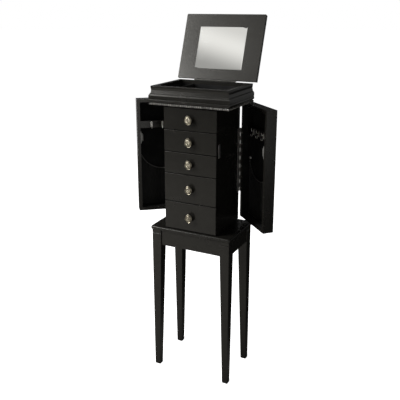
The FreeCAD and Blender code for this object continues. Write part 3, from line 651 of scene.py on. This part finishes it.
# ---- rope trim -----------------------------------------------------------------------
def rope_shell(settings):
    """A half round whose strands bulge. With s the run along the ledge and t the angle round the
    rope, the phase is (s + 0.4 R t) / pitch, the bulge is |sin(pi phase)|^0.7, and the radius is R
    times (1 - relief (1 - bulge)). The relief fades at the mitres, where the three runs meet."""
    low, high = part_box("rope_trim")
    radius = (high[2] - low[2]) / 2
    side, front, back = high[0] - radius, low[1] + radius, high[1]
    angle = np.linspace(-math.pi / 2, math.pi / 2, 13)
    mitre_run = 2.2 * MM
    let_in = 0.2 * MM
    rings, crests = [], []
    travelled = 0.0
    for run, length in (("left", back - front), ("front", 2 * side), ("right", back - front)):
        t = np.linspace(0, 1, 10 * round(length / settings.rope_pitch) + 1)[:, None]
        phase = (travelled + t * length + 0.4 * radius * angle) / settings.rope_pitch
        bulge = np.abs(np.sin(math.pi * phase)) ** 0.7
        from_mitre = {"left": 1 - t, "front": np.minimum(t, 1 - t), "right": t}[run] * length
        fade = np.clip(from_mitre / mitre_run, 0, 1)
        size = radius * (1 - settings.rope_relief * (1 - bulge) * fade - 0.12 * (1 - fade))
        inside = np.full((len(t), 2), -let_in)
        out = np.concatenate([size * np.cos(angle), inside], 1)
        lift = np.concatenate([size * np.sin(angle), size[:, -1:], -size[:, :1]], 1)
        if run == "front":
            x, y = (2 * t - 1) * (side + out), front - out
        elif run == "left":
            x, y = -(side + out), back + t * (front - out - back)
        else:
            x, y = side + out, front - out + t * (back - front + out)
        rings.append(np.stack([x, y, (low[2] + high[2]) / 2 + lift], -1))
        # The crest mask marks where the rope's painted highlight goes.
        crests.append(np.concatenate([bulge ** 4 * fade, 0 * inside], 1))
        travelled += length
    rings = [rings[0], rings[1][1:], rings[2][1:]]
    crests = [crests[0], crests[1][1:], crests[2][1:]]
    return skin(np.concatenate(rings)), np.concatenate(crests)


class ARMOIRE_OT_rope(bpy.types.Operator):
    """Carves the twisted rope under the moulding"""

    bl_idname = "armoire.rope"
    bl_label = "Rope Trim"

    def execute(self, context):
        shell, crests = rope_shell(context.scene.armoire)
        piece = make_piece("rope", shell, "cabinet", finishes(context).rope,
                           stands_for=["rope_trim"], sharp=60.0)
        give_attribute(piece, "crest", np.concatenate([crests.ravel(), [0.0, 0.0]]))
        return {"FINISHED"}


# ---- knobs ---------------------------------------------------------------------------
KNOB_FLANGE = 2.5 * MM
KNOB_NECK_SHARE = 0.43


def knob_shell(settings, width, height, depth, neck, flange):
    """A cast knob: rings from the middle of its face out over a beaded rim, back round the head
    and along the neck to a flange. On the face the height is a shallow dome plus leaves,
    |cos(n a / 2)|^0.7 swelling and dying between middle and rim, with a vein along each and small
    tips between them. A boss, a ditch, the leaves, a ditch and the rim follow one another outwards,
    each a bell curve of the distance from the middle. The dark mask is high on the face where the
    relief is low, as patina in the recesses, and high over the back of the head, the neck and the
    flange as painted shade under the head."""
    sides = 96
    a = np.arange(sides) * TAU / sides
    face = np.linspace(0.03, 1.0, 30)[:, None]
    dome = 0.80 + 0.16 * (1 - face ** 2)
    leaf_field = np.clip((face - 0.2) / 0.55, 0, 1)
    swell = np.sin(math.pi * leaf_field) ** 0.8
    petal = settings.knob_leaves * (a + 0.35 * face) / 2
    leaf = np.abs(np.cos(petal)) ** 0.7
    vein = np.exp(-((np.sin(petal) / 0.16) ** 2))
    between = np.clip((face - 0.45) / 0.2, 0, 1) * np.clip((0.8 - face) / 0.08, 0, 1)
    small = np.abs(np.sin(petal)) ** 3 * between
    boss = np.exp(-((face / 0.17) ** 4))
    rim = np.exp(-(((face - 0.9) / 0.065) ** 2))
    beads = 0.5 + 0.5 * np.cos(28 * a)
    relief = (0.12 * swell * leaf + 0.04 * swell * vein + 0.05 * small + 0.13 * boss
              + rim * (0.11 + 0.04 * beads))
    ditch = 0.10 * np.exp(-(((face - 0.79) / 0.045) ** 2)) + 0.07 * np.exp(-(((face - 0.22) / 0.05) ** 2))
    edge = np.clip((face - 0.95) / 0.05, 0, 1) ** 2
    level = (dome + relief - ditch) * (1 - 0.22 * edge)
    top = neck + (depth - neck) * level
    ring = np.stack([face * width / 2 * np.cos(a), face * height / 2 * np.sin(a), top], -1)
    hollow_and_shade = 0.95 * np.clip(1.1 - (relief - ditch) / 0.08, 0, 1) * np.clip((0.97 - face) / 0.05, 0, 1)
    t = np.linspace(0, 1, 7)[1:, None]
    share = 1 - t ** 2
    neck_radius = 4.4 * MM
    behind_x = share * width / 2 + (1 - share) * neck_radius
    behind_y = share * height / 2 + (1 - share) * neck_radius
    behind_z = neck + (depth - neck) * 0.78 * (1 - t ** 0.8)
    behind = np.stack([behind_x * np.cos(a), behind_y * np.sin(a), behind_z + 0 * a], -1)
    root, foot = neck / MM, flange / MM
    stem = np.array([[4.1, root - 0.7], [3.9, root - 1.6], [4.4, foot + 0.9], [5.4, foot + 0.4],
                     [6.3, foot], [6.9, foot - 0.5], [7.0, 0.6], [7.0, 0.0]]) * MM
    rings = np.concatenate([ring, behind, turned(stem, sides)])
    # The back of the head, the neck and the flange get 0.85 as painted shade under the head; on the face the
    # values stand for patina in the recesses.
    hollows_and_shade = np.concatenate([hollow_and_shade.ravel(), np.full((len(rings) - len(face)) * sides, 0.85), [0.2, 0.85]])
    return skin(rings), hollows_and_shade


class ARMOIRE_OT_knobs(bpy.types.Operator):
    """Casts an oval knob with a leaf relief for each drawer"""

    bl_idname = "armoire.knobs"
    bl_label = "Drawer Knobs"

    def execute(self, context):
        for number in DRAWERS:
            node = f"drawer_{number}_knob"
            low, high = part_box(node)
            depth = high[1] - low[1]
            shell, hollows_and_shade = knob_shell(context.scene.armoire, high[0] - low[0], high[2] - low[2],
                                        depth, depth * KNOB_NECK_SHARE, KNOB_FLANGE)
            seat = ((low[0] + high[0]) / 2, high[1], (low[2] + high[2]) / 2)
            shell = joined([shell], lambda points: standing(points, seat, (0, -1, 0), (0, 0, 1)))
            piece = make_piece(f"drawer_{number}_cast_knob", shell, f"drawer_{number}",
                               finishes(context).knob, stands_for=[node], sharp=50.0)
            give_attribute(piece, "hollow_and_shade", hollows_and_shade)
        return {"FINISHED"}


# ---- tray and linings ----------------------------------------------------------------
TRAY_LINING = 0.45 * MM
DRAWER_LINING = 0.7 * MM
DOOR_LINING = 0.5 * MM
LINING_CORNER = 0.8 * MM
LINING_CLEARANCE = 0.02 * MM
DRAWER_BOARD = 8.0 * MM
DRAWER_FLOOR = 5.0 * MM
DRAWER_LINING_DROP = 7.0 * MM
DRAWER_FRONT_CLEARANCE = 0.05 * MM


def rolls_shell(low, high, count):
    """Padded rolls side by side, running left to right. Across them, with u from -1 to 1 on each
    roll, the top is valley + swell * (1 - |u|^2.4)^0.5. Towards both ends it sinks and puckers, and
    slow waves keep it from looking machined."""
    per_roll = 14
    rings = 56
    v = np.linspace(0, 1, count * per_roll + 1)
    u = 2 * (v * count - np.floor(np.minimum(v * count, count - 1e-9))) - 1
    s = np.linspace(-1, 1, rings)
    s = np.sign(s) * (1 - (1 - np.abs(s)) ** 1.35)
    depth = high[2] - low[2]
    crown = np.clip(1 - np.abs(u) ** 2.4, 0, 1) ** 0.5
    end = np.clip(1 - np.abs(s) ** 14, 0, 1)[:, None] ** 0.6
    pucker = 1 - 0.05 * np.abs(np.sin(TAU * 1.5 * u)) * np.clip((np.abs(s) - 0.86) / 0.14, 0, 1)[:, None]
    slow = 1 + 0.022 * np.sin(5.3 * s[:, None] + 9 * v) + 0.016 * np.sin(11 * s[:, None] - 17 * v)
    top = low[2] + depth * (0.34 + 0.64 * crown * end * pucker * slow) * (0.72 + 0.28 * end)
    top = np.minimum(top, high[2])
    x = (low[0] + high[0]) / 2 + s * (high[0] - low[0]) / 2
    squeeze = 1 - 0.012 * np.abs(s) ** 6
    y = (low[1] + high[1]) / 2 + squeeze[:, None] * (v - 0.5) * (high[1] - low[1])
    upper = np.stack([x[:, None] + 0 * v, y, top], -1)
    lower = upper[:, ::-8].copy()
    lower[..., 2] = low[2]
    return skin(np.concatenate([upper, lower], 1))


class ARMOIRE_OT_tray(bpy.types.Operator):
    """Lines the tray and fills its larger side with ring rolls"""

    bl_idname = "armoire.tray"
    bl_label = "Tray"

    def execute(self, context):
        made = finishes(context)
        low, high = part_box("ring_cushion")
        shell = rolls_shell(low, high, context.scene.armoire.roll_count)
        piece = make_piece("ring_rolls", shell, "cabinet", made.velvet,
                           stands_for=["ring_cushion"])
        floor_low, floor_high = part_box("tray_floor")
        divider_low, divider_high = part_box("tray_divider")
        front, back = floor_low[1] + LINING_CLEARANCE, floor_high[1] - LINING_CLEARANCE
        sides = {"tray_lining_left": (floor_low[0], divider_low[0]),
                 "tray_lining_right": (divider_high[0], floor_high[0])}
        for name, (left, right) in sides.items():
            low = (left + LINING_CLEARANCE, front, floor_high[2])
            high = (right - LINING_CLEARANCE, back, divider_high[2])
            shell = lining(low, high, TRAY_LINING, LINING_CORNER)
            make_piece(name, shell, "cabinet", made.felt)
        return {"FINISHED"}


class ARMOIRE_OT_drawer_linings(bpy.types.Operator):
    """Lines each drawer with felt"""

    bl_idname = "armoire.drawer_linings"
    bl_label = "Drawer Linings"

    def execute(self, context):
        felt = finishes(context).felt
        for number in DRAWERS:
            low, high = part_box(f"drawer_{number}_box")
            front_left = (low[0] + DRAWER_BOARD, low[1] + DRAWER_FRONT_CLEARANCE, low[2] + DRAWER_FLOOR)
            back_right = (high[0] - DRAWER_BOARD, high[1] - DRAWER_BOARD, high[2] - DRAWER_LINING_DROP)
            shell = lining(front_left, back_right, DRAWER_LINING, LINING_CORNER)
            make_piece(f"drawer_{number}_lining", shell, f"drawer_{number}", felt)
        return {"FINISHED"}


# ---- doors ---------------------------------------------------------------------------
POUCH_SAG = 56.0 * MM
POUCH_CLOTH = 0.5 * MM
POUCH_BELLY = 5.2 * MM
PIPING_SIDES = 10
LINING_REACH = 2.0 * MM


def pouch_grid(settings, low, high, middle_top, back):
    """Gathered cloth as a grid over (across, up), and the points that its elastic runs through.
    The mouth is a circular arc that sags from the stiles. Below it the cloth bellies out, and soft
    pleats, sines of uneven spacing, are deepest at the elastic and die out towards the foot."""
    u = np.linspace(0, 1, 220)
    v = np.linspace(0, 1, 40)[:, None]
    half = (high[0] - low[0]) / 2
    sag = high[2] - middle_top
    arc = (half ** 2 + sag ** 2) / (2 * sag)
    top = middle_top + arc - np.sqrt(arc ** 2 - (half * (2 * u - 1)) ** 2)
    height = low[2] + (top - low[2]) * v
    drift = 0.9 * np.sin(5.1 * u) + 0.5 * np.sin(13.7 * u + 1) + 0.3 * np.sin((3 - v) * 4 * u)
    turn = TAU * settings.pouch_pleats * u + 2.1 * drift
    gather = 0.25 + 0.75 * v ** 2
    ends = np.clip(np.minimum(u, 1 - u) / 0.05, 0, 1)
    pleat = (0.4 * np.sin(turn) + 0.12 * np.sin(2.3 * turn + 1)) * gather * ends * MM
    belly = POUCH_BELLY * np.sin(math.pi * (0.1 + 0.78 * v)) ** 0.8 * np.sin(math.pi * u) ** 0.5
    into = back - 2.0 * MM - belly - pleat
    along = low[0] + 2 * half * u + 0.7 * MM * np.cos(turn) * gather * ends
    points = np.stack([along, into, height], -1)
    elastic = np.stack([low[0] + 2 * half * u, into[-1] + pleat[-1], top], -1)
    return points, u, v, elastic


class ARMOIRE_OT_doors(bpy.types.Operator):
    """Lines the door recesses and hangs a gathered pouch in each"""

    bl_idname = "armoire.doors"
    bl_label = "Door Linings and Pouches"

    def execute(self, context):
        settings = context.scene.armoire
        made = finishes(context)
        for body in DOORS:
            door = Door(body)
            rim = door.span("hook_rail")[0][0]
            back = door.span("panel")[0][1]
            points, faces = lining((rim, door.low + rim, 0.0),
                                   (door.length - rim, door.high - rim, back - LINING_REACH),
                                   DOOR_LINING, LINING_CORNER)
            laid_back = (points * (1, 1, -1) + (0, 0, back), faces)
            shell = joined([laid_back], lambda points: door(points[:, [0, 2, 1]]))
            make_piece(body + "_lining", shell, body, made.felt)
            self.hang_pouch(door, settings, made, back - DOOR_LINING)
        return {"FINISHED"}

    def hang_pouch(self, door, settings, made, back):
        low, high = door.span("pouch")
        points, u, v, elastic = pouch_grid(settings, low, high, high[2] - POUCH_SAG, back)
        rows, columns = points.shape[:2]
        faces = grid_faces(rows, columns)
        if door.side < 0:
            faces = turned_over(faces)
        cloth = (door(points.reshape(-1, 3)), faces)
        piece = make_piece(door.body + "_gathered_pouch", cloth, door.body, made.pouch,
                           stands_for=[door.body + "_pouch"], sharp=80.0)
        wide = (high[0] - low[0]) * settings.pouch_fullness
        tall = high[2] - low[2]
        give_uv(piece, np.stack(np.broadcast_arrays(u * wide, v * tall), -1).reshape(-1, 2))
        solid = piece.modifiers.new("Cloth thickness", "SOLIDIFY")
        solid.thickness = POUCH_CLOTH
        solid.offset = 0.0
        route = elastic[::4]
        tube = skin(bent(route, settings.piping_radius, sides=PIPING_SIDES))
        piping = make_piece(door.body + "_pouch_piping", joined([tube], door), door.body, made.piping)
        around = np.tile(np.arange(PIPING_SIDES) / PIPING_SIDES * TAU * settings.piping_radius, len(route))
        run = np.repeat(np.arange(len(route)) * 0.9 * MM, PIPING_SIDES)
        give_uv(piping, np.concatenate([np.stack([run, around], -1), np.zeros((2, 2))]))
        profile = np.array([[0.2, 6.2], [2.4, 5.8], [4.3, 4.6], [5.5, 2.9], [5.9, 1.2], [4.6, 0.4],
                            [4.4, 0.0]]) * MM
        seat = np.array([low[0] + 4.4 * MM, back - 0.2 * MM, high[2] + 6.0 * MM])
        stud = joined([skin(turned(profile, 24))],
                      lambda points: standing(points, seat, (0, -1, 0), (0, 0, 1)))
        make_piece(door.body + "_pouch_stud", joined([stud], door), door.body, made.nickel)


def catch_shells(low, high):
    """Housing of a magnetic catch: a trapezoid with two screw ears, drawn in round its rims towards
    its centre, and two steel poles that stand a little out of its face."""
    wall, middle = high[0], (low[2] + high[2]) / 2
    deep = wall - low[0]
    half = (high[2] - low[2]) / 2
    ear = 2.2 * MM
    lower = [(0, -half), (ear, -half), (ear, -0.70 * half), (0.86 * deep, -0.60 * half),
             (deep, -0.52 * half)]
    outline = np.array(lower + [(along, -up) for along, up in lower[::-1]])
    centre = np.array([deep * 0.35, 0.0])
    rims = [(0.8 * MM, 0.0), (0.25 * MM, 0.2 * MM), (0.0, 0.7 * MM)]
    pole_stands_out = 0.25 * MM
    levels = [(drawn_in, low[1] + pole_stands_out + lift) for drawn_in, lift in rims]
    levels += [(drawn_in, high[1] - lift) for drawn_in, lift in rims[::-1]]
    rings = []
    for drawn_in, into in levels:
        flat = centre + (outline - centre) * (1 - drawn_in / (0.5 * deep), 1 - drawn_in / half)
        rings.append(np.stack([wall - flat[:, 0], np.full(len(flat), into), middle + flat[:, 1]], -1))
    half_plate, tall, sunk = 0.6 * MM, 0.42 * half, 3.0 * MM
    poles = []
    for along in (wall - 0.38 * deep, wall - 0.72 * deep):
        points, faces = slab((along - half_plate, middle - tall, -(low[1] + sunk)),
                             (along + half_plate, middle + tall, -low[1]), 0.4 * MM, 0.2 * MM)
        poles.append((points[:, [0, 2, 1]] * (1, -1, 1), faces))
    return [skin(np.array(rings))], poles


UP = (0, 0, 1)
CATCH_SCREW = 2.2 * MM
HOOK_SCREW = 1.2 * MM
LID_SCREW = 2.0 * MM
BLOCK_SCREW = 3.0 * MM
HINGE_SCREW_COUNT = 6
HINGE_SCREW_INSET = 14 * MM
LEAF_THICKNESS = 1.0 * MM


def screw_shell(radius):
    """A countersunk head with a cross recess. Over the face the height is a low dome less the
    recess, which is deep where the distance to the nearer arm is small."""
    sides = 16
    a = (np.arange(sides) + 0.5) * TAU / sides
    r = np.array([0.12, 0.34, 0.6, 0.86, 1.0])[:, None]
    x, y = r * np.cos(a), r * np.sin(a)
    arm = np.minimum(np.abs(x), np.abs(y))
    recess = np.exp(-((arm / 0.16) ** 2)) * np.clip((0.72 - r) / 0.2, 0, 1)
    top = 0.12 * (1 - r ** 2) - 0.3 * recess
    face = np.stack([x, y, top], -1)
    base = np.stack([x[-1:], y[-1:], np.full((1, sides), -0.35)], -1)
    points, faces = skin(np.concatenate([face, base]))
    return points * radius, faces


def screws_at(places, radius):
    """Screw heads at (origin, way out, way up)."""
    head = screw_shell(radius)
    return [joined([head], lambda points, place=place: standing(points, *place)) for place in places]


class ARMOIRE_OT_catches(bpy.types.Operator):
    """Fits each door's magnetic catch, with its poles and screws"""

    bl_idname = "armoire.catches"
    bl_label = "Magnetic Catches"

    def execute(self, context):
        made = finishes(context)
        for body in DOORS:
            door = Door(body)
            low, high = door.span("catch")
            housing, poles = catch_shells(low, high)
            make_piece(body + "_catch_housing", joined(housing, door), body, made.catch,
                       stands_for=[body + "_catch"])
            make_piece(body + "_catch_poles", joined(poles, door), body, made.magnet)
            middle, half = (low[2] + high[2]) / 2, (high[2] - low[2]) / 2
            ear_face, seat_into = high[0] - 2.25 * MM, (low[1] + high[1]) / 2
            places = [(np.array([ear_face, seat_into, middle + sign * 0.84 * half]), (-1, 0, 0), UP)
                      for sign in (-1, 1)]
            heads = joined(screws_at(places, CATCH_SCREW), door)
            make_piece(body + "_catch_screws", heads, body, made.steel)
        return {"FINISHED"}


class ARMOIRE_OT_screws(bpy.types.Operator):
    """Drives the screws of the hinges, hooks, strike plates and glue blocks, and the back's pins"""

    bl_idname = "armoire.screws"
    bl_label = "Screws"

    def execute(self, context):
        made = finishes(context)
        radius = context.scene.armoire.screw_radius
        fixed = []
        side_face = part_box("side_panel_right")[1][0] + LEAF_THICKNESS
        for side, name in ((1, "hinge_leaf_right"), (-1, "hinge_leaf_left")):
            low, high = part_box(name)
            fixed += [((side * side_face, low[1] + 5.5 * MM, z), (side, 0, 0), UP)
                      for z in self.along_hinge(low, high)]
        low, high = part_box("strike_plates")
        strike_inset = 7 * MM
        for side in (-1, 1):
            y = (low[1] + high[1]) / 2
            fixed += [((side * high[0], y, z), (side, 0, 0), UP)
                      for z in (low[2] + strike_inset, high[2] - strike_inset)]
        low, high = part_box("crown_hinge_leaf")
        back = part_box("crown_back")[1][1] + LEAF_THICKNESS
        end_inset, foot_inset = 12 * MM, 6 * MM
        across = np.linspace(low[0] + end_inset, high[0] - end_inset, 4)
        fixed += [((x, back, low[2] + foot_inset), (0, 1, 0), UP) for x in across]
        make_piece("fixed_screws", joined(screws_at(fixed, radius)), "cabinet", made.steel)
        for body in DOORS:
            self.door_screws(made, Door(body), radius)
        self.lid_screws(made, across)
        self.back_pins(made)
        self.block_screws(made)
        return {"FINISHED"}

    def along_hinge(self, low, high):
        """Heights of the screws of an upright piano hinge."""
        return np.linspace(low[2] + HINGE_SCREW_INSET, high[2] - HINGE_SCREW_INSET, HINGE_SCREW_COUNT)

    def door_screws(self, made, door, radius):
        """The moving hinge leaf's screws, and two through the plate of each hook."""
        from_edge = 8.0 * MM
        places = [(np.array([from_edge, -LEAF_THICKNESS, z]), (0, -1, 0), UP)
                  for z in self.along_hinge(*door.span("hinge_leaf"))]
        heads = joined(screws_at(places, radius), door)
        make_piece(door.body + "_hinge_screws", heads, door.body, made.steel)
        rail_low, rail_high = door.span("hook_rail")
        middle = (rail_low[2] + rail_high[2]) / 2
        plate_face, half_plate = rail_low[1] - 1.2 * MM, 3.2 * MM
        first = door.span("hooks")[0][0] + half_plate
        spacing = 37.0 * MM
        places = [(np.array([first + k * spacing, plate_face, middle + lift]), (0, -1, 0), UP)
                  for k in range(3) for lift in (6.3 * MM, -1.0 * MM)]
        heads = joined(screws_at(places, HOOK_SCREW), door)
        make_piece(door.body + "_hook_screws", heads, door.body, made.nickel)

    def lid_screws(self, made, across):
        """Screws of the lid's hinge leaf, in line with those of the tray's."""
        swing = Swing("lid_hinge")
        face = swing.shut_box("lid_panel")[1][1] + LEAF_THICKNESS
        height = swing.shut_box("lid_hinge_leaf")[1][2] - 2.9 * MM
        points, faces = joined(screws_at([((x, face, height), (0, 1, 0), UP) for x in across], LID_SCREW))
        make_piece("lid_screws", (swing.shown(points), faces), "lid", made.steel)

    def back_pins(self, made):
        """Small round pin heads round the edge of the back."""
        low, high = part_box("back_panel")
        inset = 5.0 * MM
        heights = np.linspace(low[2] + inset, high[2] - inset, 8)
        widths = np.linspace(low[0] + inset, high[0] - inset, 4)
        spots = [(x, z) for x in (widths[0], widths[-1]) for z in heights]
        spots += [(x, z) for x in widths[1:-1] for z in (heights[0], heights[-1])]
        profile = np.array([[0.2, 0.5], [0.9, 0.4], [1.4, 0.1], [1.4, -0.4]]) * MM
        head = skin(turned(profile, 10))
        places = [((x, high[1], z), (0, 1, 0), UP) for x, z in spots]
        pins = [joined([head], lambda points, place=place: standing(points, *place)) for place in places]
        make_piece("back_pins", joined(pins), "cabinet", made.steel)

    def block_screws(self, made):
        """Two screws through each glue block, square to its slanted face."""
        low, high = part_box("corner_blocks")
        leg_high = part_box("leg_front_left")[1]
        apron_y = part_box("apron_front")[1][1]
        apron_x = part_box("apron_left")[1][0]
        reach, inset = 28 * MM, 10 * MM
        edge_x, edge_y = leg_high[0] + reach, leg_high[1] + reach
        places = []
        for sx in (-1, 1):
            for sy in (-1, 1):
                middle_x = sx * abs((edge_x + apron_x) / 2)
                middle_y = sy * abs((edge_y + apron_y) / 2)
                out = (-sx * (abs(apron_y) - abs(edge_y)), -sy * (abs(apron_x) - abs(edge_x)), 0.0)
                places += [((middle_x, middle_y, z), out, UP) for z in (low[2] + inset, high[2] - inset)]
        heads = joined(screws_at(places, BLOCK_SCREW))
        make_piece("block_screws", heads, "cabinet", made.steel)


# ---- studio --------------------------------------------------------------------------
AZIMUTH = math.radians(26.45)
PITCH = math.radians(15.94)
DISTANCE = 1.9106
AIM_HEIGHT = 0.70
AIM_SIDE = -0.0068


def studio_light(name, place, aim, size, power):
    data = bpy.data.lights.new(name, "AREA")
    data.shape = "RECTANGLE"
    data.size, data.size_y = size
    data.energy = power
    light = bpy.data.objects.new(name, data)
    light.location = place
    light.rotation_euler = (Vector(aim) - Vector(place)).to_track_quat("-Z", "Y").to_euler()
    bpy.context.collection.objects.link(light)


class ARMOIRE_OT_studio(bpy.types.Operator):
    """Lays a pale floor and sets the soft lights and the camera"""

    bl_idname = "armoire.studio"
    bl_label = "Studio"

    def execute(self, context):
        settings = context.scene.armoire
        self.lay_floor(settings)
        self.light_the_air(context.scene)
        middle = (0.0, 0.0, 0.8)
        studio_light("Key", (-2.0, -1.78, 2.1), middle, (1.15, 1.9), settings.key_power)
        studio_light("Left strip", (-2.4, 0.3, 1.5), middle, (0.6, 1.9), 14.0)
        studio_light("Top", (-0.3, -0.4, 3.0), middle, (1.4, 1.4), 4.0)
        studio_light("Right fill", (2.2, -1.66, 0.82), (0.0, 0.0, 0.7), (2.0, 1.6), 10.5)
        studio_light("Back rim", (0.2, 1.9, 3.2), middle, (1.2, 1.2), 7.0)
        studio_light("Back right", (1.45, 2.7, 1.2), middle, (2.0, 1.8), 1.8)
        studio_light("Back left", (-1.7, 2.5, 0.6), (0.0, 0.0, 0.7), (1.6, 1.2), 6.0)
        self.hang_card()
        right = Vector((math.cos(AZIMUTH), math.sin(AZIMUTH), 0))
        level = Vector((-math.sin(AZIMUTH), math.cos(AZIMUTH), 0))
        forward = level * math.cos(PITCH) - Vector((0, 0, math.sin(PITCH)))
        data = bpy.data.cameras.new("Camera")
        data.lens = settings.lens
        data.shift_y = -0.07
        camera = bpy.data.objects.new("Camera", data)
        camera.location = Vector((0, 0, AIM_HEIGHT)) + right * AIM_SIDE - forward * DISTANCE
        camera.rotation_euler = forward.to_track_quat("-Z", "Y").to_euler()
        context.collection.objects.link(camera)
        context.scene.camera = camera
        context.scene.view_settings.view_transform = "Standard"
        return {"FINISHED"}

    def hang_card(self):
        """A pale card that only the mirror sees: brightest a little above its middle, darker at its
        foot."""
        seen_from = Vector((0.0, 0.14, 1.09))
        way = Vector((-0.411, -0.741, 0.531)).normalized()
        half_wide, half_tall = 0.55, 0.35
        mesh = bpy.data.meshes.new("studio_card")
        corners = [(-half_wide, -half_tall, 0), (half_wide, -half_tall, 0), (half_wide, half_tall, 0),
                   (-half_wide, half_tall, 0)]
        mesh.from_pydata(corners, [], [(0, 1, 2, 3)])
        mesh.update()
        card = bpy.data.objects.new("studio_card", mesh)
        card.location = seen_from + 2.6 * way
        card.rotation_euler = (-way).to_track_quat("Z", "Y").to_euler()
        card.visible_camera = False
        card.visible_shadow = False
        bpy.context.collection.objects.link(card)
        material, tree, shader = new_material("Studio card", Roughness=1.0, Specular_IOR_Level=0.0,
                                              Base_Color=(0, 0, 0, 1), Emission_Strength=1.0)
        height = add_node(tree, "ShaderNodeSeparateXYZ", {0: place_of(tree)}).outputs["Y"]
        rise = rescaled(tree, height, -0.165, 0.043, 0.34, 0.82)
        fall = rescaled(tree, height, 0.043, 0.173, 1.0, 0.8)
        glow = calculate(tree, "MULTIPLY", rise, fall)
        color = blended(tree, glow, (0, 0, 0, 1), (1.04, 1.02, 0.975, 1))
        tree.links.new(color, shader.inputs["Emission Color"])
        mesh.materials.append(material)

    def lay_floor(self, settings):
        """A wide disc whose paleness the camera sees in full; in reflections and bounced light it
        counts for less, as a studio floor beyond the lights does."""
        angle = np.arange(64) * TAU / 64
        radius = np.array([0.5, 2.0, 6.0, 30.0])[:, None]
        rings = np.stack([radius * np.cos(angle), radius * np.sin(angle), 0 * radius * angle], -1)
        mesh = bpy.data.meshes.new("studio_floor")
        points = np.concatenate([rings.reshape(-1, 3), [[0.0, 0.0, 0.0]]])
        middle = [[j, (j + 1) % 64, len(points) - 1] for j in range(64)]
        mesh.from_pydata(points.tolist(), [], turned_over(grid_faces(4, 64, ring=True)).tolist() + middle)
        mesh.update()
        floor = bpy.data.objects.new("studio_floor", mesh)
        bpy.context.collection.objects.link(floor)
        material, tree, shader = new_material("Studio floor", Roughness=0.9, Specular_IOR_Level=0.1,
                                              Emission_Strength=1.0)
        seen = add_node(tree, "ShaderNodeLightPath").outputs["Is Camera Ray"]
        forward = add_node(tree, "ShaderNodeVectorMath", {0: place_of(tree), 1: (-0.46, -0.89, 0.0)},
                           operation="DOT_PRODUCT").outputs["Value"]
        lit = rescaled(tree, forward, -0.45, 0.4)
        unseen = blended(tree, lit, (0.02, 0.02, 0.019, 1), (0.4, 0.388, 0.37, 1))
        color = blended(tree, seen, unseen, opaque(settings.floor_color))
        tree.links.new(color, shader.inputs["Base Color"])
        glow = blended(tree, seen, (0, 0, 0, 1), (1, 1, 1, 1))
        tree.links.new(glow, shader.inputs["Emission Color"])
        mesh.materials.append(material)

    def light_the_air(self, scene):
        """White air for the camera and a dimmer one for everything it lights."""
        world = bpy.data.worlds.new("Studio air")
        scene.world = world
        world.use_nodes = True
        tree = world.node_tree
        path = add_node(tree, "ShaderNodeLightPath")
        seen = blended(tree, path.outputs["Is Camera Ray"], (0.03, 0.03, 0.03, 1), (1.0, 1.0, 1.0, 1))
        tree.links.new(seen, tree.nodes["Background"].inputs["Color"])


# ---- panel and registration ----------------------------------------------------------
STEPS = (ARMOIRE_OT_finish_frame, ARMOIRE_OT_rope, ARMOIRE_OT_knobs, ARMOIRE_OT_tray,
         ARMOIRE_OT_drawer_linings, ARMOIRE_OT_doors, ARMOIRE_OT_catches, ARMOIRE_OT_screws,
         ARMOIRE_OT_studio)


class ARMOIRE_PT_panel(bpy.types.Panel):
    """The armoire's settings and its steps"""

    bl_idname = "ARMOIRE_PT_panel"
    bl_label = "Jewelry Armoire"
    bl_space_type = "VIEW_3D"
    bl_region_type = "UI"
    bl_category = "Armoire"

    def draw(self, context):
        for name in ArmoireSettings.__annotations__:
            self.layout.prop(context.scene.armoire, name)
        for step in STEPS:
            self.layout.operator(step.bl_idname)


CLASSES = (ArmoireSettings, *STEPS, ARMOIRE_PT_panel)


def register():
    for cls in CLASSES:
        bpy.utils.register_class(cls)
    bpy.types.Scene.armoire = PointerProperty(type=ArmoireSettings)


def unregister():
    del bpy.types.Scene.armoire
    for cls in reversed(CLASSES):
        bpy.utils.unregister_class(cls)


def main():
    """Registers the classes and builds the armoire step by step."""
    register()
    for step in STEPS:
        family, action = step.bl_idname.split(".")
        getattr(getattr(bpy.ops, family), action)()


if __name__ == "__main__":
    main()
